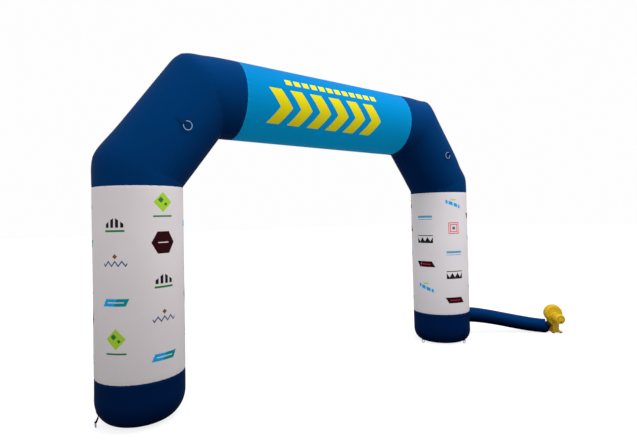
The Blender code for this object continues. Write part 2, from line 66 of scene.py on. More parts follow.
forward = Vector((math.sin(YAW) * math.cos(PITCH), math.cos(YAW) * math.cos(PITCH), math.sin(PITCH)))
level = Vector((math.cos(YAW), -math.sin(YAW), 0.0))
upright = level.cross(forward)
right = math.cos(ROLL) * level + math.sin(ROLL) * upright
above = -math.sin(ROLL) * level + math.cos(ROLL) * upright
eye = show("eye", bpy.data.cameras.new("eye"))
eye.matrix_world = Matrix.Translation(EYE) @ Matrix((right, above, -forward)).transposed().to_4x4()
eye.data.sensor_width = SENSOR_MM
eye.data.lens = FOCAL_PX * SENSOR_MM / FRAME_PX[0]
eye.data.shift_x = 0.5 - MIDDLE_PX[0] / FRAME_PX[0]
eye.data.shift_y = (MIDDLE_PX[1] - FRAME_PX[1] / 2) / FRAME_PX[0]
bpy.context.scene.camera = eye


# -------------------------- feet
# Each foot is a drum of navy polyester with a smooth airtight coating, sewn under the leg
# panel with a double row of thread. Air pushes its lower edge round; its base lies flat.
def math_node(operation, turned=False):
    """A method of Dye that adds one Math node, its two values turned round if asked."""
    def method(dye, other=0.0):
        first, second = (other, dye) if turned else (dye, other)
        return dye.node("Math", {0: first, 1: second}, operation=operation)

    return method


class Dye:
    """A shader value. Sums on it add Math nodes, and node() adds any other node."""

    def __init__(self, tree, socket=None):
        self.tree, self.socket = tree, socket

    def node(self, kind, values=None, out=0, **settings):
        """Any node: values, colours or links of its sockets, the output to read, and its settings."""
        made = self.tree.nodes.new("ShaderNode" + kind)
        for name, value in settings.items():
            setattr(made, name, value)
        for name, value in (values or {}).items():
            if isinstance(value, Dye):
                self.tree.links.new(value.socket, made.inputs[name])
            else:
                made.inputs[name].default_value = (*value, 1.0) if isinstance(value, tuple) else value
        return Dye(self.tree, made.outputs[out])

    __add__ = __radd__ = math_node("ADD")
    __sub__, __rsub__ = math_node("SUBTRACT"), math_node("SUBTRACT", turned=True)
    __mul__ = __rmul__ = math_node("MULTIPLY")
    __truediv__, __mod__ = math_node("DIVIDE"), math_node("FLOORED_MODULO")
    __lt__, __gt__ = math_node("LESS_THAN"), math_node("GREATER_THAN")
    __abs__, __floor__ = math_node("ABSOLUTE"), math_node("FLOOR")
    larger, smaller, sine = math_node("MAXIMUM"), math_node("MINIMUM"), math_node("SINE")

    def clamped(self):
        """This value, kept between 0 and 1."""
        return self.larger(0.0).smaller(1.0)

    def wave(self, length):
        """A sine of this wavelength, from -1 to 1."""
        return (self * (2 * math.pi / length)).sine()

    def tint(self, under, over):
        """The colour under, and over where this value is 1."""
        return self.node("Mix", {0: self, 6: under, 7: over}, 2, data_type="RGBA")

    def parts(self):
        """The X, Y and Z of a vector."""
        split = self.node("SeparateXYZ", {0: self}).socket.node
        return [Dye(self.tree, split.outputs[i]) for i in range(3)]

    def noise(self, scale, detail, rough=0.5):
        """Soft noise over this place, in blobs of 1 / scale metres."""
        return self.node("TexNoise", {"Vector": self, "Scale": scale, "Detail": detail, "Roughness": rough})


def finish(name, roughness, metallic=0.0, specular=0.5, gloss=(1.0, 1.0, 1.0)):
    """A new Principled material: its shader and a Dye to reckon with."""
    made = bpy.data.materials.new(name)
    made.use_nodes = True
    shader = made.node_tree.nodes["Principled BSDF"]
    for socket, value in (("Roughness", roughness), ("Metallic", metallic), ("Specular Tint", (*gloss, 1.0)),
                          ("Specular IOR Level", specular)):
        shader.inputs[socket].default_value = value
    return made, shader, Dye(made.node_tree)


def lead(shader, name, dye):
    """Link a value to one of the shader's sockets."""
    dye.tree.links.new(dye.socket, shader.inputs[name])


def emboss(shader, height, strength, distance):
    """Let a height, in parts of a distance, turn the shader's normal."""
    bump = height.node("Bump", {"Strength": strength, "Distance": distance, "Height": height})
    lead(shader, "Normal", bump)


CLOTH_R = 0.400  # the tube's radius
HALF_TURN = math.pi * CLOTH_R  # cloth from one side seam to the other
THREAD = 0.0007  # half the width of a row of thread
STITCH, SHOWN = 0.0060, 0.72  # one stitch with the gap after it, and the thread's share of that
CROSS_ROWS, SIDE_ROW = (0.007, 0.014), 0.006  # rows of thread, from a cross or a side seam
CROSS_LAP, SIDE_LAP = 0.018, 0.011  # how wide the laps under the rows are
WEAVE = 0.0015  # two threads of the cloth
STAINS, GRAIN = 1.7, 260.0  # scales of the noise in its colour and on its face


def coated_cloth(name, paint, thread, roughness=0.46, low_shade=(0.0, 0.24, 0.55), gloss=(0.02, 0.30, 1.0)):
    """Coated polyester. paint(dye, around, along) gives its colour.

    Flat cloth sizes come from the UV map (metres round the tube and along it), and the
    distance from the nearest cross seam from the attribute seam. Two rows of thread run
    beside each cross seam and one beside each side seam, on a lap that stands up a little.
    low_shade gives the heights between which a painted shade fades out going up, and what it
    leaves of the colour at the lower one.
    """
    made, shader, dye = finish(name, roughness, specular=0.006, gloss=gloss)
    around, along, _ = dye.node("UVMap", uv_map="cloth").parts()
    seam = dye.node("Attribute", out="Fac", attribute_name="seam")
    from_side = HALF_TURN / 2 - abs(abs(around - HALF_TURN / 2) - HALF_TURN / 2)
    near_row, far_row = (abs(seam - row) < THREAD for row in CROSS_ROWS)
    rows = near_row.larger(far_row) * ((around / STITCH) % 1.0 < SHOWN)
    side_row = (abs(from_side - SIDE_ROW) < THREAD) * ((along / STITCH) % 1.0 < SHOWN)
    sewn = rows.larger(side_row)
    here = dye.node("TexCoord", out="Object")
    slow, fine = here.noise(STAINS, 2.0), here.noise(GRAIN, 2.0)
    # Painted shade: below the upper height the colour darkens, down to the share least of it at the lower
    # one.
    low, high, least = low_shade
    unshaded = ((here.parts()[2] - low) / (high - low)).clamped()
    value = (0.93 + slow * 0.14) * (least + unshaded * (1.0 - least))
    worn_and_shaded = dye.node("HueSaturation", {"Value": value, "Color": paint(dye, around, along)})
    lead(shader, "Base Color", sewn.tint(worn_and_shaded, thread))
    lead(shader, "Roughness", roughness - 0.06 + slow * 0.10 + fine * 0.03)
    lap = (from_side < SIDE_LAP).larger(seam < CROSS_LAP)
    weave = around.wave(WEAVE) * along.wave(WEAVE)
    height = lap * 0.30 + sewn * 0.35 + weave * 0.035 + fine * 0.05 + slow * 2.0
    emboss(shader, height, strength=0.55, distance=0.001)
    return made


NAVY = (0.0006, 0.0282, 0.1130)
# The feet are the same navy cloth, painted darker as shade near the ground, the left foot darker than the
# right; each also darkens further towards its base.
SHADED_FOOT_NAVY = {"left": (0.0004, 0.0080, 0.0405), "right": (0.0004, 0.0090, 0.0480)}
NAVY_THREAD = (0.002, 0.034, 0.125)


def plain(colour):
    """A paint of one colour."""
    return lambda dye, around, along: colour


foot_cloth = {side: coated_cloth(f"foot_cloth_{side}", plain(navy), NAVY_THREAD, low_shade=(0.0, 0.24, 0.48))
              for side, navy in SHADED_FOOT_NAVY.items()}


def joined(*parts):
    """Arrays stretched over each other, as the coordinates of one array of points."""
    return np.stack(np.broadcast_arrays(*parts), -1)


def unit(vectors):
    """Vectors brought to a length of one."""
    return vectors / np.linalg.norm(vectors, axis=-1, keepdims=True)


def lengths(points):
    """How far along the straight runs between them each point lies from the first one."""
    return np.concatenate([[0.0], np.cumsum(np.linalg.norm(np.diff(points, axis=0), axis=1))])


def net(rows, cols, ring=False):
    """Four-cornered faces of a grid whose columns run once round, and in a ring its rows too."""
    r, c = np.mgrid[0:rows if ring else rows - 1, 0:cols]
    down, on = (r + 1) % rows * cols, (c + 1) % cols
    return joined(r * cols + c, r * cols + on, down + on, down + c).reshape(-1, 4)


def smooth_mesh(name, points, *faces):
    """A smooth-shaded mesh from an array of points and one or more arrays of faces."""
    mesh = bpy.data.meshes.new(name)
    mesh.from_pydata(points.reshape(-1, 3).tolist(), [], sum((part.tolist() for part in faces), []))
    mesh.shade_smooth()
    return mesh


def body_from_grid(name, grid, flat=None, seam=None, sharp=50.0):
    """A closed mesh object from a grid of points (rows, columns, xyz).

    Columns run once round, and each end row is closed by a fan to its middle point. The
    signed volume (a sixth of the sum of a . b x c over the triangles) settles which way the
    faces turn.  flat holds each point's place on the flat cloth, with one more column.
    """
    rows, cols = grid.shape[:2]
    points = np.vstack([grid.reshape(-1, 3), grid[0].mean(0), grid[-1].mean(0)])
    quads = net(rows, cols)
    k, last, pole = np.arange(cols), (rows - 1) * cols, rows * cols
    after = (k + 1) % cols
    fans = np.vstack([joined(after, k, pole), joined(last + k, last + after, pole + 1)])
    triangles = np.vstack([quads[:, :3], quads[:, [0, 2, 3]], fans])
    first, second, third = (points[triangles[:, i]] for i in range(3))
    way = -1 if (first * np.cross(second, third)).sum() < 0.0 else 1
    mesh = smooth_mesh(name, points, quads[:, ::way], fans[:, ::way])
    if flat is not None:
        quad_uv = np.stack([flat[:-1, :-1], flat[:-1, 1:], flat[1:, 1:], flat[1:, :-1]], 2)
        quad_uv = quad_uv.reshape(-1, 4, 2)[:, ::way].reshape(-1, 2)
        uv = np.vstack([quad_uv, flat[0, :1].repeat(3 * len(fans), 0)]).astype(np.float32)
        mesh.uv_layers.new(name="cloth").data.foreach_set("uv", uv.ravel())
    if seam is not None:
        layer = mesh.attributes.new("seam", "FLOAT", "POINT")
        seam = np.broadcast_to(seam, (rows, cols))
        layer.data.foreach_set("value", np.append(seam.ravel(), [1.0, 1.0]).astype(np.float32))
    mesh.set_sharp_from_angle(angle=math.radians(sharp))
    return show(name, mesh)


def dress(made, material, slot, *nodes):
    """Give a piece its material, and let it stand for the frame's nodes; slot is not used."""
    made.data.materials.append(material)
    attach(made, "root")
    if nodes:
        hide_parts(*nodes)


def fill_with_air(node, cloth, slot, grid, flat, away):
    """The cloth of one tight piece of the tube, in place of its node."""
    made = body_from_grid(f"{node}_cloth", grid, flat, away)
    dress(made, cloth, slot, node)


PUCKER, PUCKER_REACH = 0.0009, 0.035  # depth of the small gathers beside a seam, and their length
SEAM_DRAW, DRAW_REACH = 0.0030, 0.030  # how far a seam draws the tube in, and within what distance
AROUND = 288  # columns round the tube
TURN = np.linspace(-math.pi, math.pi, AROUND + 1)  # their angles, the first one once more at the end


def gathers(turn, away):
    """Ripples beside a seam: three sines round the tube that die off away from it."""
    ripple = np.sin(31 * turn + 0.4) + 0.8 * np.sin(43 * turn + 2.1) + 0.6 * np.sin(58 * turn + 4.0)
    return PUCKER * ripple * np.exp(-away / PUCKER_REACH)


def seam_draw(away):
    """How far the tube is drawn in beside a seam: a parabola that ends at its reach."""
    return SEAM_DRAW * np.clip(1.0 - away / DRAW_REACH, 0.0, 1.0) ** 2


LEG_X = {"left": -2.125, "right": 2.125}
FOOT = {  # top, wall radius, flat base radius, height of the round edge
    "left": (0.4198, 0.398, 0.214, 0.225),
    "right": (0.4198, 0.399, 0.285, 0.158)}
FOOT_LEAN = {"left": (-0.005, -0.009), "right": (0.003, 0.008)}  # sideways at the seam, and more below
WALL_ROWS, EDGE_ROWS, BASE_ROWS = 16, 30, 7


def sideways(side, height):
    """How far the foot's middle lies to the side: its lean at the seam and a parabola below."""
    at_seam, more = FOOT_LEAN[side]
    return at_seam + more * (1.0 - height / FOOT[side][0]) ** 2


def drum(top, wall, flat_r, edge):
    """Radius and height down a foot: a straight wall, a quarter ellipse, a flat base."""
    straight = top - (top - edge) * np.linspace(0.0, 1.0, WALL_ROWS) ** 1.6
    bend = np.linspace(0.0, math.pi / 2, EDGE_ROWS)[1:]
    base = flat_r * np.linspace(1.0, 0.02, BASE_ROWS)[1:]
    radius = np.concatenate([np.full(WALL_ROWS, wall), flat_r + (wall - flat_r) * np.cos(bend), base])
    height = np.concatenate([straight, edge * (1.0 - np.sin(bend)), 0.0 * base])
    return radius, height


def upright_tube(middle, reach, height):
    """Rows of circles: (middle + reach * cos, reach * sin, height) round the turn."""
    turn = TURN[:-1]
    return joined(middle[:, None] + reach * np.cos(turn), reach * np.sin(turn), height[:, None]) + ARCH


for side, (top, wall, flat_r, edge) in FOOT.items():
    radius, height = drum(top, wall, flat_r, edge)
    away = (top - height)[:, None]
    swell = (gathers(TURN[:-1], away) - seam_draw(away)) * (height > 0.0)[:, None]
    grid = upright_tube(LEG_X[side] + sideways(side, height), radius[:, None] + swell, height)
    run = lengths(joined(radius, height))[:, None]
    flat = joined(wall * (TURN + math.pi / 2), run)
    fill_with_air(f"foot_{side}", foot_cloth[side], "navy_cloth", grid, flat, run)


# -------------------------- leg panels
# A leg panel is one sheet of white coated polyester, sewn into a tube and printed before
# sewing with small plain marks in columns that stand half a step from each other.
LIME, LEAF, MAROON = (0.30, 0.50, 0.030), (0.020, 0.16, 0.045), (0.022, 0.004, 0.006)
INK, SLATE, BROWN = (0.012, 0.012, 0.015), (0.07, 0.10, 0.20), (0.16, 0.08, 0.03)
SKY, TEAL, PAPER = (0.010, 0.30, 0.62), (0.004, 0.21, 0.26), (0.575, 0.535, 0.550)
ROSE, MIST = (0.62, 0.045, 0.075), (0.09, 0.26, 0.42)
COLUMNS = 6  # columns of marks round a leg
STEP = 0.335  # from one mark to the next in a column
PRINT_FROM, PRINT_TO = 0.09, 1.60  # middles of the highest and the lowest mark, below the leg's top


def tooth(value, pitch):
    """A value's distance from the middle of its own stretch of this length."""
    return abs(value % pitch - pitch / 2)


def left_marks(a, b):
    """Five marks about 0.2 m wide once printed: a runs to the right and b up from the middle."""
    near = abs(a)
    box = near.larger(abs(b))
    return [
        [(near + abs(b - 0.018) < 0.072, LIME), (abs(a + 0.016) + abs(b - 0.034) < 0.022, LEAF),
         (abs(a - 0.022) + abs(b - 0.004) < 0.014, LEAF), ((near < 0.075) * (abs(b + 0.082) < 0.006), LEAF)],
        [((near * 0.866 + abs(b) * 0.5).larger(abs(b)) < 0.078, MAROON),
         ((near < 0.040) * (abs(b) < 0.0035), PAPER)],
        [((tooth(a, 0.036) < 0.011) * (near < 0.072) * (b > -0.022) * (b < 0.050 - near * 0.7), INK),
         ((near < 0.072) * (abs(b + 0.045) < 0.007), LEAF)],
        [((abs(b + 0.018 - tooth(a, 0.050) * 1.3) < 0.0075) * (near < 0.088), SLATE),
         (abs(a) + abs(b - 0.048) < 0.018, BROWN)],
        [((abs(a - b * 0.5) < 0.086) * (abs(b) < 0.026), SKY),
         ((abs(a - b * 0.5 - 0.043) < 0.043) * (abs(b) < 0.026), TEAL),
         ((box < 0.060) * (abs(b) < 0.0035), PAPER)],
    ]


def right_marks(a, b):
    """Five other marks for the other leg."""
    near = abs(a)
    box = near.larger(abs(b))
    return [
        [((tooth(a, 0.052) < 0.021) * (abs(b + a * 0.35) < 0.017) * (near < 0.078), SKY),
         ((near < 0.030) * (abs(b - 0.042) < 0.005), LIME)],
        [((box < 0.055) * (box > 0.047), ROSE), ((box < 0.038) * (box > 0.030), ROSE), (box < 0.014, SLATE)],
        [((near < 0.080) * (abs(b) < 0.010), MIST), ((near < 0.080) * (abs(b + 0.026) < 0.003), SKY)],
        [((b + tooth(a, 0.056) * 1.5 < 0.032) * (b > -0.026) * (near < 0.084), INK),
         ((near < 0.084) * (abs(b - 0.046) < 0.004), INK)],
        [((abs(a + b * 0.6) < 0.084) * (abs(b) < 0.028), MAROON),
         ((tooth(a, 0.018) < 0.006) * (near < 0.054) * (abs(b) < 0.003), ROSE)],
    ]


def printed(marks, shift, paper, size):
    """A paint that repeats marks in staggered columns; their kind changes from cell to cell."""
    width = 2 * HALF_TURN / COLUMNS

    def paint(dye, around, along):
        place = (around + shift) / width
        column = math.floor(place)
        raised = along / STEP + (column % 2.0) * 0.5
        row = math.floor(raised)
        a = (place - column - 0.5) * (width / size)
        b = (0.5 - (raised - row)) * (STEP / size)
        kind = ((column % float(COLUMNS)) * 2.0 + column % 2.0 + row) % 5.0
        centre = (row + 0.5 - (column % 2.0) * 0.5) * STEP
        inside = (centre > PRINT_FROM) * (centre < PRINT_TO)
        colour = dye.node("RGB")
        colour.socket.default_value = (*paper, 1.0)
        for number, shapes in enumerate(marks(a, b)):
            chosen = (abs(kind - float(number)) < 0.5) * inside
            for mask, ink in shapes:
                colour = (mask * chosen).tint(colour, ink)
        return colour

    return paint


PAPER_THREAD = (0.62, 0.60, 0.60)
# The right leg's white is the same cloth as the left's, painted lighter: painted light.
LIT_PAPER, MATT_WHITE = (0.596, 0.566, 0.588), (1.0, 1.0, 1.0)
PRINT = {  # marks, shift round the leg, paper, size of a mark, painted shade low down
    "left": (left_marks, 0.10, PAPER, 1.25, (0.42, 1.72, 0.765)),
    "right": (right_marks, 0.348, LIT_PAPER, 1.45, (0.42, 0.95, 0.86))}
leg_cloth = {side: coated_cloth(f"white_cloth_{side}", printed(*look), PAPER_THREAD, 0.50, low_shade, MATT_WHITE)
             for side, (*look, low_shade) in PRINT.items()}
LEG_PANEL = {"left": (0.4202, 2.1316), "right": (0.4202, 2.1271)}  # heights of its lower and upper seam
LEG_ROWS, WAVE_DEEP = 44, 0.0012


def stations(count):
    """Shares from 0 to 1 that crowd together at both ends: a power of 2.2 out from the middle."""
    middle = np.linspace(-1.0, 1.0, count)
    return (1.0 + np.sign(middle) * (1.0 - (1.0 - np.abs(middle)) ** 2.2)) / 2


for side, (low, high) in LEG_PANEL.items():
    share = stations(LEG_ROWS)
    height = high + (low - high) * share
    away = (np.minimum(share, 1.0 - share) * (high - low))[:, None]
    wall = (CLOTH_R + (FOOT[side][1] - CLOTH_R) * share)[:, None]
    air = WAVE_DEEP * np.sin(2 * TURN[:-1] + 1.0) * np.sin(3.0 * math.pi * share)[:, None]
    reach = wall - seam_draw(away) + gathers(TURN[:-1] + 0.3, away) + air
    grid = upright_tube(LEG_X[side] + FOOT_LEAN[side][0] * share ** 2, reach, height)
    flat = joined(CLOTH_R * (TURN + math.pi / 2), (high - height)[:, None])
    fill_with_air(f"leg_panel_{side}", leg_cloth[side], "white_cloth", grid, flat, away)


# -------------------------- elbows, braces and crowns
# The navy bends are gores of the same cloth, cut so that each pair meets in a slanting mitre
# seam; the outer side of a bend is eased round, and its inner side holds short slack folds.
ELBOW_Z, HALF_BEAM = 2.270, 1.533
BEAM_Z = {"left": 3.083, "right": 3.049}
BRACE_R, BEAM_R = 0.400, {"left": 0.413, "right": 0.404}
PANEL_HALF = 1.170  # half the length of the beam's printed sheet
EASE_REACH, EASE = 0.130, 0.85  # how far from a mitre a bend is eased round, and how much of it
LOW_EASE, HIGH_EASE = {"left": 0.60, "right": EASE}, {"left": 0.82, "right": 0.76}
SWELL = {"left": (0.003, 0.0), "right": (-0.008, 0.013)}  # at the lower and the upper mitre
SWELL_REACH = 0.350
ELBOW_LEAST = 0.008  # the elbow gore's height at its inner side
INNER_SLIP = {"left": 0.018, "right": 0.0}  # how far an upper mitre's inner end sits along the beam
SEW = 0.00015  # half the space that is left between two sewn pieces
FOLDS, FOLD_REACH = 0.0022, 0.09  # how deep and how long the slack folds inside a bend are
NO_BELLY = (0.0, 0.5, 0.0, 0.13)


def crossing(corner, first, second, sign):
    """Where two walls meet that run beside two axes through corner, at their radii."""
    (ax, az), reach = first
    (bx, bz), other = second
    share = sign * (other - reach * (az * bz + ax * bx)) / (ax * bz - az * bx)
    return np.array([corner[0] + sign * reach * az + share * ax, corner[1] - sign * reach * ax + share * az])


def seams_of(side):
    """The seams from the leg's top to the beam's sheet.

    Each is its inner and outer end, the tube's radius, half the bend, its swelling, its ease
    and the share of a full draw that the thread takes up in it.
    """
    sign, leg_x = (-1.0 if side == "left" else 1.0), LEG_X["right"]
    slope = (BEAM_Z["right"] - BEAM_Z["left"]) / (2 * HALF_BEAM)
    lower, upper = np.array([leg_x, ELBOW_Z]), np.array([HALF_BEAM, BEAM_Z[side]])
    run = np.array([-1.0, -sign * slope]) / math.hypot(1.0, slope)
    leg, brace, beam = ([0.0, 1.0], CLOTH_R), (unit(upper - lower), BRACE_R), (run, BEAM_R[side])
    low = [crossing(lower, leg, brace, s) for s in (-1, 1)]
    high = [crossing(upper, brace, beam, s) for s in (-1, 1)]
    high[0] = high[0] + run * INNER_SLIP[side]
    top = low[0][1] - ELBOW_LEAST
    end = BEAM_Z[side] - sign * slope * (HALF_BEAM - PANEL_HALF)
    leg_top = [(leg_x - CLOTH_R, top), (leg_x + CLOTH_R, top)]
    panel_end = [(PANEL_HALF, end - BEAM_R[side]), (PANEL_HALF, end + BEAM_R[side])]
    lean = math.atan2(upper[1] - lower[1], lower[0] - upper[0])
    seams = {"leg_top": (leg_top, CLOTH_R, 0.0, 0.0, EASE, 1.0),
             "low_mitre": (low, BRACE_R, (math.pi / 2 - lean) / 2, SWELL[side][0], LOW_EASE[side], 0.35),
             "high_mitre": (high, BRACE_R, lean / 2, SWELL[side][1], HIGH_EASE[side], 0.35),
             "panel_end": (panel_end, BEAM_R[side], 0.0, 0.0, EASE, 0.7)}
    return {name: (np.array([[sign * x, 0.0, z] for x, z in ends]), *form)
            for name, (ends, *form) in seams.items()}


def gore(first, last, rows, folds=FOLDS, belly=NO_BELLY):
    """A grid between two seams, and its flat sizes and distances from the seams.

    Each row is an ellipse between an inner and an outer point, which lie on straight lines
    from seam to seam; its half-axis across is the tube's radius. Near a bend the outer
    point moves in by a parabola, and near a swelling it moves out by another.  belly is how
    far the outer side stands out and about which share of the length, how far the inner
    side does, and the width of the outer side's bell curve.
    """
    (start, start_r, *start_form, start_draw), (end, end_r, *end_form, end_draw) = first, last
    share = stations(rows)[:, None]
    step = unit(end.mean(0) - start.mean(0)) * SEW
    inner, outer = ((start[i] + step) * (1 - share) + (end[i] - step) * share for i in (0, 1))
    short, length = np.linalg.norm(end - start, axis=1)
    window = np.sqrt(np.clip(4 * share * (1 - share), 0, 1))
    trim = -belly[0] * window * np.exp(-((share - belly[1]) / belly[3]) ** 2)
    for (bend, swell, ease), away in ((start_form, share * length), (end_form, (1 - share) * length)):
        trim += ease * EASE_REACH * math.tan(bend) / 2 * np.clip(1 - away / EASE_REACH, 0, 1) ** 2
        trim -= swell * np.clip(1 - away / SWELL_REACH, 0, 1) ** 2
    across = unit(outer - inner)
    outer, inner = outer - across * trim, inner - across * belly[2] * window
    middle, half = (inner + outer) / 2, np.linalg.norm(outer - inner, axis=1)[:, None] / 2
    depth = start_r * (1 - share) + end_r * share
    local = short + (length - short) * (1 + np.cos(TURN)) / 2
    away = np.minimum(share, 1 - share) * local
    slack = np.clip(-np.cos(TURN), 0, 1) ** 3 * np.exp(-away / FOLD_REACH) * np.cos(TURN * 34)
    drawn = seam_draw(away) * np.where(share < 0.5, start_draw, end_draw)
    ripple = (gathers(TURN, away) - drawn + folds * slack)[:, :-1]
    grid = (middle[:, None] + across[:, None] * ((half + ripple) * np.cos(TURN[:-1]))[..., None]
            + np.array([0.0, 1.0, 0.0]) * ((depth + ripple) * np.sin(TURN[:-1]))[..., None]) + ARCH
    return grid, joined(CLOTH_R * (TURN + math.pi / 2), share * local), away[:, :-1]


NAVY_SHADE = (0.0005, 0.0150, 0.0700)


def shaded_navy(dye, around, along):
    """Navy with painted shade on the underside: it darkens from 0.55 to 0.85 of the way round."""
    under = abs(around - HALF_TURN / 2) / HALF_TURN
    return ((under - 0.55) * 3.3).clamped().tint(NAVY, NAVY_SHADE)


# Painted shade: the bends also darken from 3.2 m down to 2.05 m, as light falls off with height.
navy_cloth = coated_cloth("navy_cloth", shaded_navy, NAVY_THREAD, low_shade=(2.05, 3.20, 0.84))
BELLY = {"brace_left": (0.018, 0.06, 0.003, 0.13), "brace_right": (-0.036, 0.115, 0.0, 0.12),
         "crown_left": (-0.0128, 0.23, 0.0, 0.24), "crown_right": (-0.028, 0.10, 0.0, 0.28)}
GORES = {"elbow": ("leg_top", "low_mitre", 26), "brace": ("low_mitre", "high_mitre", 44),
         "crown": ("high_mitre", "panel_end", 30)}  # its two seams and its rows
for side in LEG_X:
    seams = seams_of(side)
    for piece, (start, end, rows) in GORES.items():
        node = f"{piece}_{side}"
        shape = gore(seams[start], seams[end], rows, belly=BELLY.get(node, NO_BELLY))
        fill_with_air(node, navy_cloth, "navy_cloth", *shape)


# -------------------------- beam panel
# The beam's middle is one cyan sheet, printed with a row of plain yellow chevrons under a
# broken line on its front and its back, and sewn between the two crown gores.
CYAN_SHADED_TOP, CYAN_LIT_BELOW = (0.0008, 0.075, 0.265), (0.0010, 0.322, 0.630)
YELLOW_INK = (0.610, 0.527, 0.008)
PANEL_LENGTH = 2 * PANEL_HALF
CHEVRON_PITCH, CHEVRON_WIDE, CHEVRON_TALL, CHEVRON_AT = 0.254, 0.150, 0.184, -0.089
CHEVRON_SLANT = 0.75
CHEVRONS, ROW_AT = 6, -0.095  # their number, and the row's middle along the beam
DASH_PITCH, DASH_LONG, DASH_HALF, DASH_AT = 0.110, 0.076, 0.032, 0.190
LINE_HALF = 0.643  # half the length of the broken line
BEAM_ROWS = 60


def chevrons(dye, around, along):
    """Stripes of x plus a share of the height's size point to +X: slanting bars make a V."""
    x = along - PANEL_LENGTH / 2 - ROW_AT
    height = HALF_TURN - abs(around - HALF_TURN / 2)
    rise = height - HALF_TURN / 2
    half = CHEVRONS * CHEVRON_PITCH / 2
    off = abs(rise - CHEVRON_AT)
    leaning = x + off * CHEVRON_SLANT + half - CHEVRON_SLANT * CHEVRON_TALL / 2
    bars = (leaning % CHEVRON_PITCH < CHEVRON_WIDE) * (off < CHEVRON_TALL)
    bars = bars * (leaning > 0.0) * (leaning < CHEVRONS * CHEVRON_PITCH)
    slant = x + (rise - DASH_AT) * 0.2 - 0.03
    dash = (abs(rise - DASH_AT) < DASH_HALF) * (((slant + LINE_HALF) % DASH_PITCH) < DASH_LONG)
    dash = dash * (abs(slant) < LINE_HALF)
    # Painted shade on top and painted light underneath: the cyan grows lighter and greener towards the
    # underside.
    ground = (height / HALF_TURN).tint(CYAN_LIT_BELOW, CYAN_SHADED_TOP)
    return bars.larger(dash).tint(ground, YELLOW_INK)


cyan_cloth = coated_cloth("cyan_cloth", chevrons, (0.02, 0.30, 0.62), 0.44, gloss=(0.05, 0.6, 1.0))
left_end, right_end = (seams_of(side)["panel_end"] for side in LEG_X)
fill_with_air("beam_panel", cyan_cloth, "cyan_cloth", *gore(left_end, right_end, BEAM_ROWS, folds=0.0))


# -------------------------- tabs and rings
# Guy ropes and pegs hold the arch by welded steel rings. Each hangs in a strap of navy webbing,
# doubled over its wire and sewn to the tube: 40 mm wide on the braces, 30 mm at the feet.
STRAP_THICK, LAYERS = 0.0026, 0.0037  # the webbing, and from one layer's middle to the other's
LOOP_R = 0.0064  # the strap's middle line around the ring's wire
WIRE_R = 0.0045
FOOT_TAB = (0.015, 0.0215, (0.400, 0.0270))  # half width, ring radius, ring's middle
BRACE_TAB = (0.020, 0.0410, (BRACE_R + 0.015, 0.0))
FOOT_SEWN, BRACE_SEWN = (0.138, 0.094), (0.115, 0.062)  # where the sewn stretch starts and ends
OFF_FOOT, OFF_BRACE = 0.0016, 0.0022  # from the wall to the strap's middle line
FOOT_TABS = {"left": {"outer": 180, "back": 90},
             "right": {"outer": 0, "inner": 180, "front": -90, "back": 90}}
BRACE_TABS = {"left": (0.531, 3.5), "right": (0.461, 0.0)}  # share of the axis, degrees below it


def smooth_path(points, spacing, blur):
    """Evenly spaced points along the straight runs between the given ones.

    A running mean over blur points to either side rounds the corners. It also gives each
    point's distance from the start.
    """
    run = lengths(points)
    even = np.linspace(0.0, run[-1], int(run[-1] / spacing) + 1)
    line = joined(*(np.interp(even, run, column) for column in points.T))
    padded = np.vstack([2 * line[0] - line[blur:0:-1], line, 2 * line[-1] - line[-2:-blur - 2:-1]])
    mean = np.full(2 * blur + 1, 1.0 / (2 * blur + 1))
    return joined(*(np.convolve(column, mean, "valid") for column in padded.T)), even


def ray(angle):
    """Cosine and sine: the points of a circle of radius 1 at these angles."""
    return joined(np.cos(angle), np.sin(angle))


def left_of(heading):
    """Flat directions turned a quarter round to the left."""
    return joined(-heading[..., 1], heading[..., 0])


def flat_oval(half, thick, count):
    """A flat oval: half a width times |cos| to the power 0.35, half a thickness times |sin| to it."""
    bow = ray(np.linspace(0.0, 2 * math.pi, count)).T
    return np.sign(bow) * np.abs(bow) ** 0.35 * [[half], [thick / 2]]


def webbing_grid(sewn, half, ring_r, ring_at):
    """A strap's grid in its own frame: x out of the wall, y across it, z up the wall.

    Its middle line runs down the wall, once round the ring's wire and back up behind itself;
    a flat oval is carried along it. From the sewn stretch down, a place y across comes to
    lie at the angle y / radius about the ring's middle, so that the loop bends with the wire.
    """
    top = np.array([ring_at[0], ring_at[1] + ring_r])
    loop = top + LOOP_R * ray(np.radians(np.arange(115, -176, -14.5)))
    rise = sewn[-1] - loop[0]
    back = loop[0] + unit(left_of(rise)) * LAYERS + rise * np.array([[0.08], [0.45], [0.80]])
    line, run = smooth_path(np.vstack([sewn, loop, back]), spacing=0.0011, blur=2)
    face = left_of(unit(np.gradient(line, axis=0)))
    across, thick = flat_oval(half, STRAP_THICK, count=41)
    x = line[:, 0, None] + face[:, 0, None] * thick
    z = line[:, 1, None] + face[:, 1, None] * thick - ring_at[1]
    start, wrapped = sewn[-1][1] - ring_at[1], ring_r + LOOP_R + 0.002
    bent = np.clip((start - z) / (start - wrapped), 0.0, 1.0)
    reach = np.minimum(z, wrapped) * bent
    grid = joined(x, across * (1 - bent) + reach * np.sin(across / ring_r),
                  ring_at[1] + z - reach * (1 - np.cos(across / ring_r)))
    return grid[:, :-1], joined(across, run[:, None])


def placed(grid, turn, place):
    """Points of a tab's own frame, turned by a 3 by 3 matrix and moved to its place."""
    return grid @ np.asarray(turn, float).T + place


RIB, EDGE_FROM = 0.0022, 0.0115  # from one rib to the next, and where the thick edge starts
BOX_AT, BOX_HALF, BOX_FLAT = 0.020, 0.0092, 0.55  # the sewn box: middle, half width, width by height
BOX_THREAD, BOX_STITCH, BOX_SHOWN = 0.0006, 0.004, 0.0029


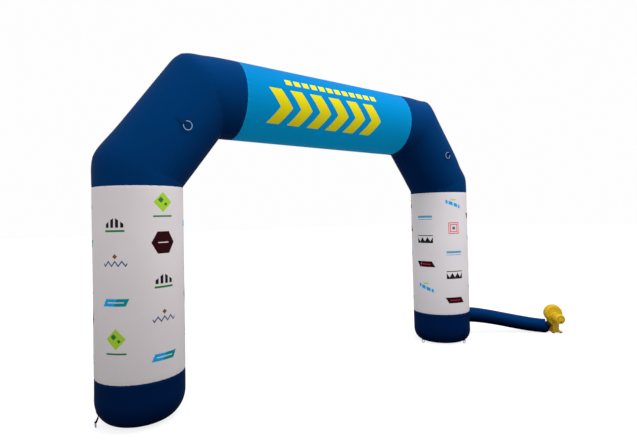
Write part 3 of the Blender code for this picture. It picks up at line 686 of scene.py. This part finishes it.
def sewn_webbing(name, worn_and_shaded, fresh, sewing):
    """Ribbed webbing: bars across it every 2.2 mm, a thick edge, and a crossed box of thread."""
    made, shader, dye = finish(name, 0.72, specular=0.02)
    across, along, _ = dye.node("UVMap", uv_map="cloth").parts()
    near = abs(across)
    tall = abs(along - BOX_AT) * BOX_FLAT
    box = tall.larger(near)
    cross = (abs(tall - near) < BOX_THREAD) * (box < BOX_HALF)
    thread = (abs(box - BOX_HALF) < BOX_THREAD).larger(cross) * ((along + across) % BOX_STITCH < BOX_SHOWN)
    rib = (along + tooth(across, 0.005) * 0.6).wave(RIB)
    grime = dye.node("TexCoord", out="Object").noise(45.0, 3.0)
    # The rib wave also darkens the colour in the grooves between ribs: painted shade.
    ground = (grime * 0.6 + rib * 0.2 + 0.2).tint(worn_and_shaded, fresh)
    lead(shader, "Base Color", thread.tint(ground, sewing))
    height = rib * 0.35 + (near > EDGE_FROM) * 0.3 + thread * 0.5
    emboss(shader, height, strength=0.7, distance=0.0006)
    return made


def welded_steel():
    """Bright steel tinted blue as a painted reflection, with fine lines round the wire and a faint haze."""
    made, shader, dye = finish("steel", 0.24, metallic=1.0)
    here = dye.node("TexCoord", out="Object")
    haze, lines = here.noise(60.0, 3.0), here.noise(900.0, 1.0)
    # Painted reflection: the steel's colour is a blue from its surroundings.
    lead(shader, "Base Color", haze.tint((0.38, 0.52, 0.80), (0.58, 0.73, 0.98)))
    lead(shader, "Roughness", 0.16 + haze * 0.16 + lines * 0.05)
    emboss(shader, lines, strength=0.15, distance=0.0003)
    return made


navy_webbing = sewn_webbing("webbing", (0.0006, 0.0180, 0.0740), (0.0009, 0.0260, 0.1020),
                            (0.001, 0.036, 0.125))
dark_webbing = sewn_webbing("dark_webbing", (0.0003, 0.0022, 0.0090), (0.0006, 0.0042, 0.0160),
                            (0.001, 0.010, 0.032))
steel = welded_steel()


def ring_grid(ring_r, ring_at):
    """A wire of round section bent to a ring, a little thicker where it is welded, low down."""
    round_ring = np.linspace(0.0, 2 * math.pi, 97)[:-1, None]
    wire = np.linspace(0.0, 2 * math.pi, 21)[None, :-1]
    weld = 0.0007 * np.exp(-((round_ring - 4.1) * ring_r / 0.0035) ** 2)
    thick = WIRE_R + weld
    reach = ring_r + thick * np.cos(wire)
    return joined(ring_at[0] + thick * np.sin(wire), reach * np.cos(round_ring),
                  ring_at[1] + reach * np.sin(round_ring))


def hang_tab(place, webbing, turn, at, sewn, half, ring_r, ring_at):
    """One strap and its ring, in place of the frame's two nodes."""
    grid, flat = webbing_grid(sewn, half, ring_r, ring_at)
    strap = body_from_grid(f"tab_{place}_strap", placed(grid, turn, at), flat)
    dress(strap, webbing, "webbing", f"tab_{place}")
    grid = placed(ring_grid(ring_r, ring_at), turn, at)
    mesh = smooth_mesh(f"ring_{place}_wire", grid, net(*grid.shape[:2], ring=True))
    dress(show(mesh.name, mesh), steel, "steel", f"ring_{place}")


def foot_wall(side, height):
    """Radius of a foot's wall at these heights: a quarter ellipse up to its straight part."""
    _, wall, flat_r, edge = FOOT[side]
    return flat_r + (wall - flat_r) * np.sqrt(1.0 - np.clip((edge - height) / edge, 0.0, 1.0) ** 2)


for side, tabs in FOOT_TABS.items():
    height = np.linspace(*FOOT_SEWN, 4)
    for where, degrees in tabs.items():
        c, s = ray(math.radians(degrees))
        turn = [[c, -s, 0.0], [s, c, 0.0], [0.0, 0.0, 1.0]]
        sewn = joined(foot_wall(side, height) + c * sideways(side, height) + OFF_FOOT, height)
        hang_tab(f"foot_{side}_{where}", dark_webbing, turn, ARCH + [LEG_X[side], 0.0, 0.0], sewn, *FOOT_TAB)
for side, (share, drop) in BRACE_TABS.items():
    sign = math.copysign(1.0, LEG_X[side])
    low, high = np.array([LEG_X[side], 0.0, ELBOW_Z]), np.array([sign * HALF_BEAM, 0.0, BEAM_Z[side]])
    along = unit(high - low)
    top = np.array([sign * along[2], 0.0, abs(along[0])])
    sewn = (BRACE_R + OFF_BRACE) * ray(np.linspace(*BRACE_SEWN, 4) / BRACE_R)
    at = ARCH + low + (high - low) * share
    c, s = ray(math.radians(drop))
    for where, level in (("front", np.array([0.0, -1.0, 0.0])), ("back", np.array([0.0, 1.0, 0.0]))):
        outward, up_wall = level * c - top * s, top * c + level * s
        turn = np.stack([outward, np.cross(up_wall, outward), up_wall], -1)
        hang_tab(f"brace_{side}_{where}", navy_webbing, turn, at, sewn, *BRACE_TAB)


# -------------------------- inflation sleeve and its tie
# A sleeve of the same navy cloth is sewn to the right foot and carries the air. It sags to the
# ground, and its end is gathered in pleats over the blower's outlet and tied with webbing.
ROUTE = np.array([[2.400, -0.026, 0.293], [2.795, -0.100, 0.328],
                  [3.300, -0.450, 0.106], [3.526, -0.795, 0.102]])
SLEEVE_R, FLAT_R = (0.111, 0.101), 0.106  # at the foot and at the shoulder, and for its flat cloth
TUBE_LONG, NECK_FROM, SLEEVE_LONG = 1.32, 1.39, 1.424  # lengths of cloth from the foot
SHOULDER_STEP, NECK_STEP = 0.0025, 0.0038  # cloth from one row to the next
SHOULDER_ROWS, NECK_ROWS = 26, 9
OFF_WALL, OFF_GROUND = 0.0006, 0.0008  # least gap to the foot's wall and to the ground
# The sleeve's navy is a darker copy of the navy cloth, and its underside colour is nearly black: painted
# shade.
SHADED_SLEEVE_NAVY, SLEEVE_SHADE = (0.0005, 0.0212, 0.0960), (0.0002, 0.0006, 0.0035)
BLOWER_AT = np.array([3.647, -0.860, 0.0])
BLOWER_TURN = math.radians(142.3)
SCROLL_Z = 0.283
SPIGOT_END = (0.0779, 0.1120)  # middle of the spigot's end, in the blower's own frame
OUTLET = ray(math.radians(322))
NECK_LENGTH, NECK_R, MOUTH_R = 0.034, 0.056, 0.050


def shaded_sleeve_navy(dye, around, along):
    """Navy with painted shade underneath: nearly black at the bottom, full from two thirds of the way up."""
    up = ((abs(around - HALF_TURN / 2) / FLAT_R - 0.75) / 1.40).clamped()
    return (up * (up * 0.5 + 0.5)).tint(SLEEVE_SHADE, SHADED_SLEEVE_NAVY)


def from_blower(points):
    """Points of the blower's own frame (x to its outlet, y along its axle, z up), moved to the world."""
    c, s = ray(BLOWER_TURN)
    return np.asarray(points, float) @ [[c, s, 0.0], [-s, c, 0.0], [0.0, 0.0, 1.0]] + BLOWER_AT + ARCH


def bezier(share):
    """The sleeve's middle line: a cubic curve that four points guide, and its direction."""
    s, rest = share[..., None], 1.0 - share[..., None]
    point = (ROUTE[0] * rest ** 3 + ROUTE[1] * 3 * rest ** 2 * s
             + ROUTE[2] * 3 * rest * s ** 2 + ROUTE[3] * s ** 3)
    leg_1, leg_2, leg_3 = np.diff(ROUTE, axis=0)
    return point, unit(leg_1 * rest ** 2 + leg_2 * 2 * rest * s + leg_3 * s ** 2)


def hoop(middle, ahead, reach, turn):
    """Points round a middle at a reach, across a direction; turn 0 is its lowest point."""
    side = unit(np.cross(ahead, [0.0, 0.0, 1.0]))
    up = np.cross(side, ahead)
    return middle + (side * np.sin(turn)[..., None] - up * np.cos(turn)[..., None]) * reach[..., None]


# Each way round, the last of 400 steps still inside the foot shows where its edge is sewn on.
SLEEVE_COLS = 240
turn = np.linspace(-math.pi, math.pi, SLEEVE_COLS + 1)
share = np.linspace(0.0, 0.5, 400)[:, None] + 0.0 * turn
middle, ahead = bezier(share)
trial = hoop(middle, ahead, SLEEVE_R[0] + (SLEEVE_R[1] - SLEEVE_R[0]) * share, turn)
past = np.hypot(trial[..., 0] - LEG_X["right"] - sideways("right", trial[..., 2]), trial[..., 1])
past = past - foot_wall("right", trial[..., 2]) - OFF_WALL
last_in = len(share) - 1 - np.argmax((past < 0.0)[::-1], axis=0)
pick = np.arange(SLEEVE_COLS + 1)
step = past[last_in, pick] / (past[last_in, pick] - past[last_in + 1, pick])
begin = share[last_in, pick] + step * (share[1, 0] - share[0, 0])
# The tube: a slight bulge, two long creases, and small pleats at both of its ends.
run = np.linspace(0.0, 1.0, 110)[:, None] ** 0.9
share = begin + (1.0 - begin) * run
middle, ahead = bezier(share)
length, left = TUBE_LONG * (share - begin), TUBE_LONG * (1.0 - share)
full = SLEEVE_R[0] + (SLEEVE_R[1] - SLEEVE_R[0]) * share
bulge = 0.0016 * np.sin(2 * turn + 9.0 * share) * np.sin(math.pi * run)
crease = -0.0022 * (np.exp(-((turn + 1.9 - 7.0 * (share - 0.52)) / 0.16) ** 2)
                    * np.exp(-((share - 0.50) / 0.16) ** 2))
crease -= 0.0018 * (np.exp(-((turn - 2.1 + 5.0 * (share - 0.80)) / 0.14) ** 2)
                    * np.exp(-((share - 0.84) / 0.10) ** 2))
pleat = 0.5 * np.sin(23 * turn + 0.7) + 0.35 * np.sin(37 * turn + 2.0)
ends = 0.0022 * pleat * (np.exp(-left / 0.05) + 0.5 * np.exp(-length / 0.03))
ends *= np.clip(length / 0.02, 0.0, 1.0)
tube = hoop(middle, ahead, full + bulge + crease + ends, turn)
# The shoulder closes like a dome while it swings from the tube's way to the spigot's.
mouth = from_blower([SPIGOT_END[0], 0.0, SPIGOT_END[1]]) - ARCH
into = from_blower([SPIGOT_END[0] + OUTLET[0], 0.0, SPIGOT_END[1] + OUTLET[1]]) - ARCH - mouth
neck_top, end_middle, end_ahead = mouth + into * NECK_LENGTH, ROUTE[3], bezier(np.array(1.0))[1]
round_off = np.linspace(0.0, math.pi / 2, SHOULDER_ROWS + 1)[1:, None]
close = 1.0 - np.cos(round_off)
reach = NECK_R + (SLEEVE_R[1] - NECK_R) * (1.0 - close) ** 0.36 + 0.0030 * pleat * (0.5 + close)
reach += 0.008 * np.sin(2 * round_off) * np.clip(-np.cos(turn), 0.0, 1.0)
middle = end_middle + (neck_top - end_middle) * np.sin(round_off)[..., None]
tilt = end_ahead * (1.0 - close[..., None] ** 3) - into * close[..., None] ** 3
shoulder = hoop(middle, unit(tilt), reach, turn)
# The neck lies in pleats over the spigot, with a waist under the tie.
down = np.linspace(0.0, 1.0, NECK_ROWS + 1)[1:, None]
waist = 0.0016 * np.exp(-((down * NECK_LENGTH - 0.021) / 0.007) ** 2)
reach = NECK_R + (MOUTH_R - NECK_R) * down - waist + 0.0014 * pleat * (1 - 0.6 * down)
neck = hoop(neck_top + (mouth - neck_top) * down[..., None], -into, reach, turn)
# Its start is closed by three rows that lie on the foot's wall.
first = tube[0, :-1]
heart = first.mean(0)
inward = heart + (first - heart) * np.array([0.05, 0.35, 0.7])[:, None, None]
height = inward[..., 2]
foot_middle = joined(LEG_X["right"] + sideways("right", height), 0.0)
spoke = unit(inward[..., :2] - foot_middle)
inward[..., :2] = foot_middle + spoke * (foot_wall("right", height) + OFF_WALL)[..., None]
grid = np.concatenate([inward, tube[:, :-1], shoulder[:, :-1], neck[:, :-1]]) + ARCH
grid[..., 2] = np.maximum(grid[..., 2], OFF_GROUND)
lengthwise = np.concatenate([np.zeros(len(inward)), TUBE_LONG * run[:, 0],
                             TUBE_LONG + SHOULDER_STEP * np.arange(1, SHOULDER_ROWS + 1),
                             NECK_FROM + NECK_STEP * np.arange(1, NECK_ROWS + 1)])[:, None]
# Painted shade: the sleeve also darkens a little within 0.1 m of the ground.
sleeve_cloth = coated_cloth("sleeve_cloth", shaded_sleeve_navy, NAVY_THREAD, low_shade=(0.0, 0.1, 0.9))
fill_with_air("inflation_sleeve", sleeve_cloth, "navy_cloth", grid,
              joined(HALF_TURN / 2 + FLAT_R * turn, lengthwise),
              np.minimum(lengthwise, SLEEVE_LONG - lengthwise))

TIE_HALF, TIE_THICK, TIE_DOWN = 0.0080, 0.0024, 0.0131
# The tie follows the neck for more than one turn, so that its last part lies on its first.
round_neck = np.radians(np.linspace(-200.0, 225.0, 150))[:, None]
lifted = 1.0 / (1.0 + np.exp(-(np.degrees(round_neck) - 165.0) / 6.0))
wide, thick = flat_oval(TIE_HALF, TIE_THICK, count=25)
neck_here = MOUTH_R + (NECK_R - MOUTH_R) * (TIE_DOWN + wide) / NECK_LENGTH
reach = neck_here + TIE_THICK * (0.75 + 1.15 * lifted) + thick
grid = hoop(mouth + into * (TIE_DOWN + wide)[:, None], -into, reach, round_neck) + ARCH
flat = joined(wide * 1.4, 0.055 * (3.93 - round_neck))
tie = body_from_grid("sleeve_tie_strap", grid[:, :-1], flat)
dress(tie, dark_webbing, "webbing", "sleeve_tie")


# -------------------------- blower
# A centrifugal blower stands on a bent plate beside the arch. Its scroll is two halves moulded
# in yellow plastic and screwed together at a flange; a ribbed drum with a vented cap holds the
# motor on one side, and a black grille covers the inlet on the other.
AXLE_Z = 0.243  # the motor and the grille sit a little below the scroll's middle
SCROLL_R = (0.116, 0.134)
SCROLL_SWEEP = (-58, 232)  # degrees
SCROLL_WIDE, SCROLL_EDGE = 0.060, 0.020
DUCT_LONG, DUCT_TALL = 0.132, 0.0944
FLANGE_OUT = 0.008
FLANGE = ((-0.0062, 0.0), (-0.0055, 0.0), (-0.0050, 0.85), (-0.0042, 1.0),  # places along the axle, and
          (0.0042, 1.0), (0.0050, 0.85), (0.0055, 0.0), (0.0062, 0.0))  # the share of its width there
FAN_AT = np.array([0.0, -0.060])  # the cheeks narrow toward this point below the scroll's middle


def moulded(name, colour, dust_and_shade_colour, gritty=1.0):
    """Moulded plastic: a fine sparked texture, a faint cloud of colour, and patches that thicken low down:
    dust on the black rubber, painted shade on the yellow parts.
    """
    made, shader, dye = finish(name, 0.42, specular=0.25)
    here = dye.node("TexCoord", out="Object")
    cloud, grit, rubbed = here.noise(14.0, 3.0), here.noise(700.0, 2.0), here.noise(38.0, 4.0, 0.65)
    hole_shade = dye.node("Attribute", out="Fac", attribute_name="hole_shade")
    _, _, high = here.parts()
    # On the yellow parts these patches are a darker orange, painted shade that grows below 0.2 m; on the
    # rubber they are lighter dust.
    dust_and_low_shade = ((rubbed - 0.45) * 3.0).clamped() * ((0.20 - high) * 4.0).larger(0.15).smaller(0.6)
    shade = (cloud * 0.5 + 0.25).tint(colour, tuple(part * 1.10 for part in colour))
    shade = dust_and_low_shade.tint(shade, dust_and_shade_colour)
    # Painted shade: slots and grille gaps turn nearly black, for the dark inside the holes.
    lead(shader, "Base Color", hole_shade.tint(shade, tuple(part * 0.06 for part in colour)))
    lead(shader, "Roughness", 0.36 + cloud * 0.10 + dust_and_low_shade * 0.25 + grit * 0.05)
    emboss(shader, grit + rubbed * 0.5, strength=0.35 * gritty, distance=0.0004)
    return made


YELLOW, SHADE_YELLOW = (0.515, 0.328, 0.0018), (0.32, 0.225, 0.030)
yellow_plastic = moulded("yellow_plastic", YELLOW, SHADE_YELLOW)
# The base and brackets are painted the same yellow as the plastic; this darker, more orange copy is painted
# shade.
shaded_yellow_paint = moulded("shaded_yellow_paint", (0.400, 0.236, 0.0012), (0.28, 0.19, 0.025), gritty=0.5)
black_rubber = moulded("black_rubber", (0.012, 0.012, 0.013), (0.045, 0.042, 0.038), gritty=1.6)


def ridge(value, half, slope):
    """1 within half of zero, falling to 0 over a slope's width."""
    return np.clip((half - np.abs(value)) / slope + 1.0, 0.0, 1.0)


# The scroll's outline is a spiral, one wall of the duct, its mouth and its other wall.
spiral = np.linspace(*SCROLL_R, 160)[:, None] * ray(np.radians(np.linspace(*SCROLL_SWEEP, 160)))
lip = spiral[-1] + OUTLET * DUCT_LONG
corners = np.vstack([spiral, lip, lip + left_of(OUTLET) * DUCT_TALL, spiral[0]])
outline = np.roll(smooth_path(corners, spacing=0.0034, blur=2)[0][:-1], 20, 0)
heading = np.roll(outline, -1, 0) - np.roll(outline, 1, 0)
normal = -left_of(unit(heading))
toward = unit(FAN_AT - outline)
# Across the rim go a rounded edge, the flange and another rounded edge; then the cheeks narrow.
arc = np.linspace(0.0, math.pi / 2, 8)
flange_y, flange_share = np.array(FLANGE).T
inset = SCROLL_EDGE * np.concatenate([1 - np.sin(arc), 0 * flange_y, 1 - np.cos(arc)])
proud = FLANGE_OUT * np.concatenate([0 * arc, flange_share, 0 * arc])
flat_y = SCROLL_WIDE - SCROLL_EDGE
wall_y = np.concatenate([-flat_y - SCROLL_EDGE * np.cos(arc), flange_y, flat_y + SCROLL_EDGE * np.sin(arc)])
rim = outline + toward * inset[:, None, None] + normal * proud[:, None, None]
shrink = np.linspace(0.04, 0.985, 40)[:, None, None]
cheek_back = FAN_AT + (rim[0] - FAN_AT) * shrink
cheek_front = FAN_AT + (rim[-1] - FAN_AT) * shrink[::-1]


def relief(points, boss, ribs):
    """Raised forms on a cheek: a round boss about the axle and ribs that run out from it."""
    x, z = points[..., 0], points[..., 1] + SCROLL_Z - AXLE_Z
    far = np.hypot(x, z)
    rib = ridge(np.sin(np.arctan2(z, x) * ribs / 2) * far, 0.0022, 0.0022) * ridge(far - 0.085, 0.022, 0.006)
    return 0.004 * ridge(far - boss, 0.006, 0.003) + 0.003 * rib


back_y = -SCROLL_WIDE - relief(cheek_back, 0.091, 12)
front_y = SCROLL_WIDE + relief(cheek_front, 0.081, 10)
plane = np.concatenate([cheek_back, rim, cheek_front])
depth = np.concatenate([back_y, wall_y[:, None] + 0 * outline[:, 0], front_y])
grid = from_blower(joined(plane[..., 0], depth, plane[..., 1] + SCROLL_Z))
scroll = body_from_grid("blower_scroll_shell", grid, sharp=38.0)
dress(scroll, yellow_plastic, "yellow_plastic", "blower_scroll")


def about_axle(name, runs, ribs):
    """A piece turned about the axle, from the runs of its outline: radii and places along.

    ribs takes the angle, the radius and the place, and gives how far the wall stands out,
    how far it moves along the axle and, from 0 to 1, how deep it lies in a slot, which is
    stored as hole_shade for the finish to darken as painted shade.
    """
    angle = np.linspace(0.0, 2 * math.pi, 241)[:-1]
    radius, along = np.concatenate([joined(*run) for run in runs]).T[..., None] + 0 * angle
    raised, moved, hole_shade = ribs(angle, radius, along)
    hole_shade = np.append(hole_shade + 0 * radius, [0.0, 0.0])
    radius = radius + raised
    grid = joined(radius * np.cos(angle), along + moved, AXLE_Z + radius * np.sin(angle))
    made = body_from_grid(name, from_blower(grid), sharp=38.0)
    made.data.attributes.new("hole_shade", "FLOAT", "POINT").data.foreach_set("value", hole_shade.astype(np.float32))
    return made


def drum_ribs(angle, radius, along):
    """Thirty low ribs along the drum, between its flange and its cap."""
    wall = radius > 0.056
    rib = ridge(np.sin(15 * angle) * radius / 15, 0.0014, 0.0012) * ridge(along - 0.142, 0.052, 0.004)
    return 0.0032 * rib * wall - 0.0006 * wall, 0.0, 0.0


def cap_vents(angle, radius, along):
    """Slots in three rings through the cap's end, painted dark inside as shade, and finger grips round its
    wall.
    """
    face = ridge(along - 0.2680, 0.004, 0.003)
    ring = sum(ridge(radius - r, 0.0042, 0.0012) for r in (0.019, 0.031, 0.043))
    slot = ridge(np.sin(9 * angle) * radius / 9, 0.0030, 0.0012)
    cut = face * ring * (1.0 - slot)
    grip = np.sin(30 * angle) ** 2 * ridge(along - 0.226, 0.010, 0.004)
    return -0.0016 * grip, -0.0035 * cut, np.clip(cut * 1.2, 0, 1)


def grille(angle, radius, along):
    """Rings and eight spokes stand up from the inlet's dome; the gaps between are painted dark, as the shade
    inside.
    """
    ring = ridge((radius + 0.0045) % 0.009 - 0.0045, 0.0014, 0.0010)
    spoke = ridge(np.sin(4 * angle) * radius / 4, 0.0022, 0.0012)
    bar = np.maximum(np.maximum(ring, spoke), (radius > 0.072) * 1.0)
    open_ = (1.0 - bar) * (radius < 0.072) * (along < -0.066)
    return 0.0, 0.0045 * open_, open_


dome = np.linspace(0.0, math.pi / 2, 14)
centre_in = np.linspace(1, 0, 90)
motor = about_axle("blower_motor_drum", [
    ([0.004, 0.050, 0.0725], 0.0603),
    ([0.0740, 0.0740, 0.0715, 0.064, 0.0612], [0.0610, 0.0672, 0.0688, 0.0745, 0.0810]),
    (0.0600, np.linspace(0.083, 0.2050, 40)),
    ([0.0595, 0.040, 0.004], 0.2057)], drum_ribs)
dress(motor, yellow_plastic, "yellow_plastic", "blower_motor")
cap = about_axle("blower_motor_cap_shell", [
    ([0.004, 0.058, 0.0692], [0.2060, 0.2060, 0.2063]),
    (0.0700, np.linspace(0.2075, 0.2480, 16)),
    (0.052 + 0.018 * np.cos(dome), 0.2490 + 0.0190 * np.sin(dome)),
    (np.linspace(0.051, 0.002, 60), 0.2680)], cap_vents)
dress(cap, yellow_plastic, "yellow_plastic", "blower_motor_cap")
inlet = about_axle("blower_inlet_grille", [
    ([0.004, 0.074, 0.0835], [-0.0603, -0.0603, -0.0604]),
    (0.0840, -np.linspace(0.0612, 0.0720, 6)),
    (0.072 + 0.012 * np.cos(dome), -0.0722 - 0.0110 * np.sin(dome)),
    (np.linspace(0.071, 0.002, 90), -0.0832 - 0.0010 * np.sqrt(1 - centre_in ** 2))], grille)
dress(inlet, black_rubber, "black_rubber", "blower_inlet")

SCREWS, BORE_OUT = 11, 0.0040  # plain pan heads along the flange, and how far out they sit
HEAD = ((0.0004, 0.0066), (0.0012, 0.0066), (0.0022, 0.0064),  # radius and height over the flange
        (0.0030, 0.0058), (0.0034, 0.0050), (0.0034, 0.0042))
at = (np.arange(SCREWS) * len(outline) / SCREWS + 9).astype(int)
bore = outline[at] + normal[at] * BORE_OUT
head_r, head_y = np.array(HEAD).T[..., None]
round_head = np.linspace(0.0, 2 * math.pi, 13)[:-1]
head = joined(head_r * np.cos(round_head), head_y, head_r * np.sin(round_head))
heads = head + joined(bore[:, 0], 0.0, bore[:, 1] + SCROLL_Z)[:, None, None]
rows, cols = head.shape[:2]
first = np.arange(SCREWS)[:, None] * rows * cols
sides = (first[..., None] + net(rows, cols)[:, [0, 3, 2, 1]]).reshape(-1, 4)
tops, feet = first + np.arange(cols), first + rows * cols - 1 - np.arange(cols)
screw_mesh = smooth_mesh("blower_screws", from_blower(heads), sides, tops, feet)
screw_mesh.set_sharp_from_angle(angle=math.radians(45))
dress(show("blower_screws", screw_mesh), steel, "steel")

for cast, nodes in ((shaded_yellow_paint, ("base", "bracket_front", "bracket_back")),
                    (black_rubber, ("spigot", "gland", "pad_1", "pad_2", "pad_3", "pad_4"))):
    for node in nodes:
        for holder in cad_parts[f"blower_{node}"].material_slots:
            holder.material = cast


# -------------------------- floor and light
# A plain pale floor in a white studio. One broad soft lamp hangs high over the arch, a little
# to the right and in front; the walls give back a low, even light.
FLOOR_REACH = 60.0
LAMP_AT, LAMP_AIM = Vector((0.8, -1.5, 7.5)), Vector((0.0, 0.0, 1.5))
corners = [(x * FLOOR_REACH, y * FLOOR_REACH, -0.0005) for x, y in ((-1, -1), (1, -1), (1, 1), (-1, 1))]
floor_mesh = bpy.data.meshes.new("floor")
floor_mesh.from_pydata(corners, [], [(0, 1, 2, 3)])
floor = show("floor", floor_mesh)
paving, shader, dye = finish("floor", 0.9, specular=0.0)
seen = dye.node("LightPath", out="Is Camera Ray")
lead(shader, "Base Color", seen.tint((0.30, 0.30, 0.30), (0.22, 0.22, 0.22)))
shader.inputs["Emission Strength"].default_value = 1.0
lead(shader, "Emission Color", seen.tint((0.0, 0.0, 0.0), (0.80, 0.80, 0.80)))
floor_mesh.materials.append(paving)

sky = bpy.data.worlds.new("sky")
bpy.context.scene.world = sky
sky.use_nodes = True
dye = Dye(sky.node_tree)
seen = dye.node("LightPath", out="Is Camera Ray")
shone = dye.node("LightPath", out="Is Diffuse Ray")
lit = shone.tint((0.70, 0.70, 0.70), (1.28, 1.28, 1.28))
glow = sky.node_tree.nodes["Background"]
sky.node_tree.links.new(seen.tint(lit, (0.985, 0.985, 0.985)).socket, glow.inputs["Color"])

lamp = show("key", bpy.data.lights.new("key", "AREA"))
lamp.data.size = 6.0
lamp.data.energy = 450.0
aimed = (LAMP_AT - LAMP_AIM).to_track_quat("Z", "Y").to_matrix().to_4x4()
lamp.matrix_world = Matrix.Translation(LAMP_AT) @ aimed
lamp.visible_glossy = False
bpy.context.scene.view_settings.view_transform = "Standard"
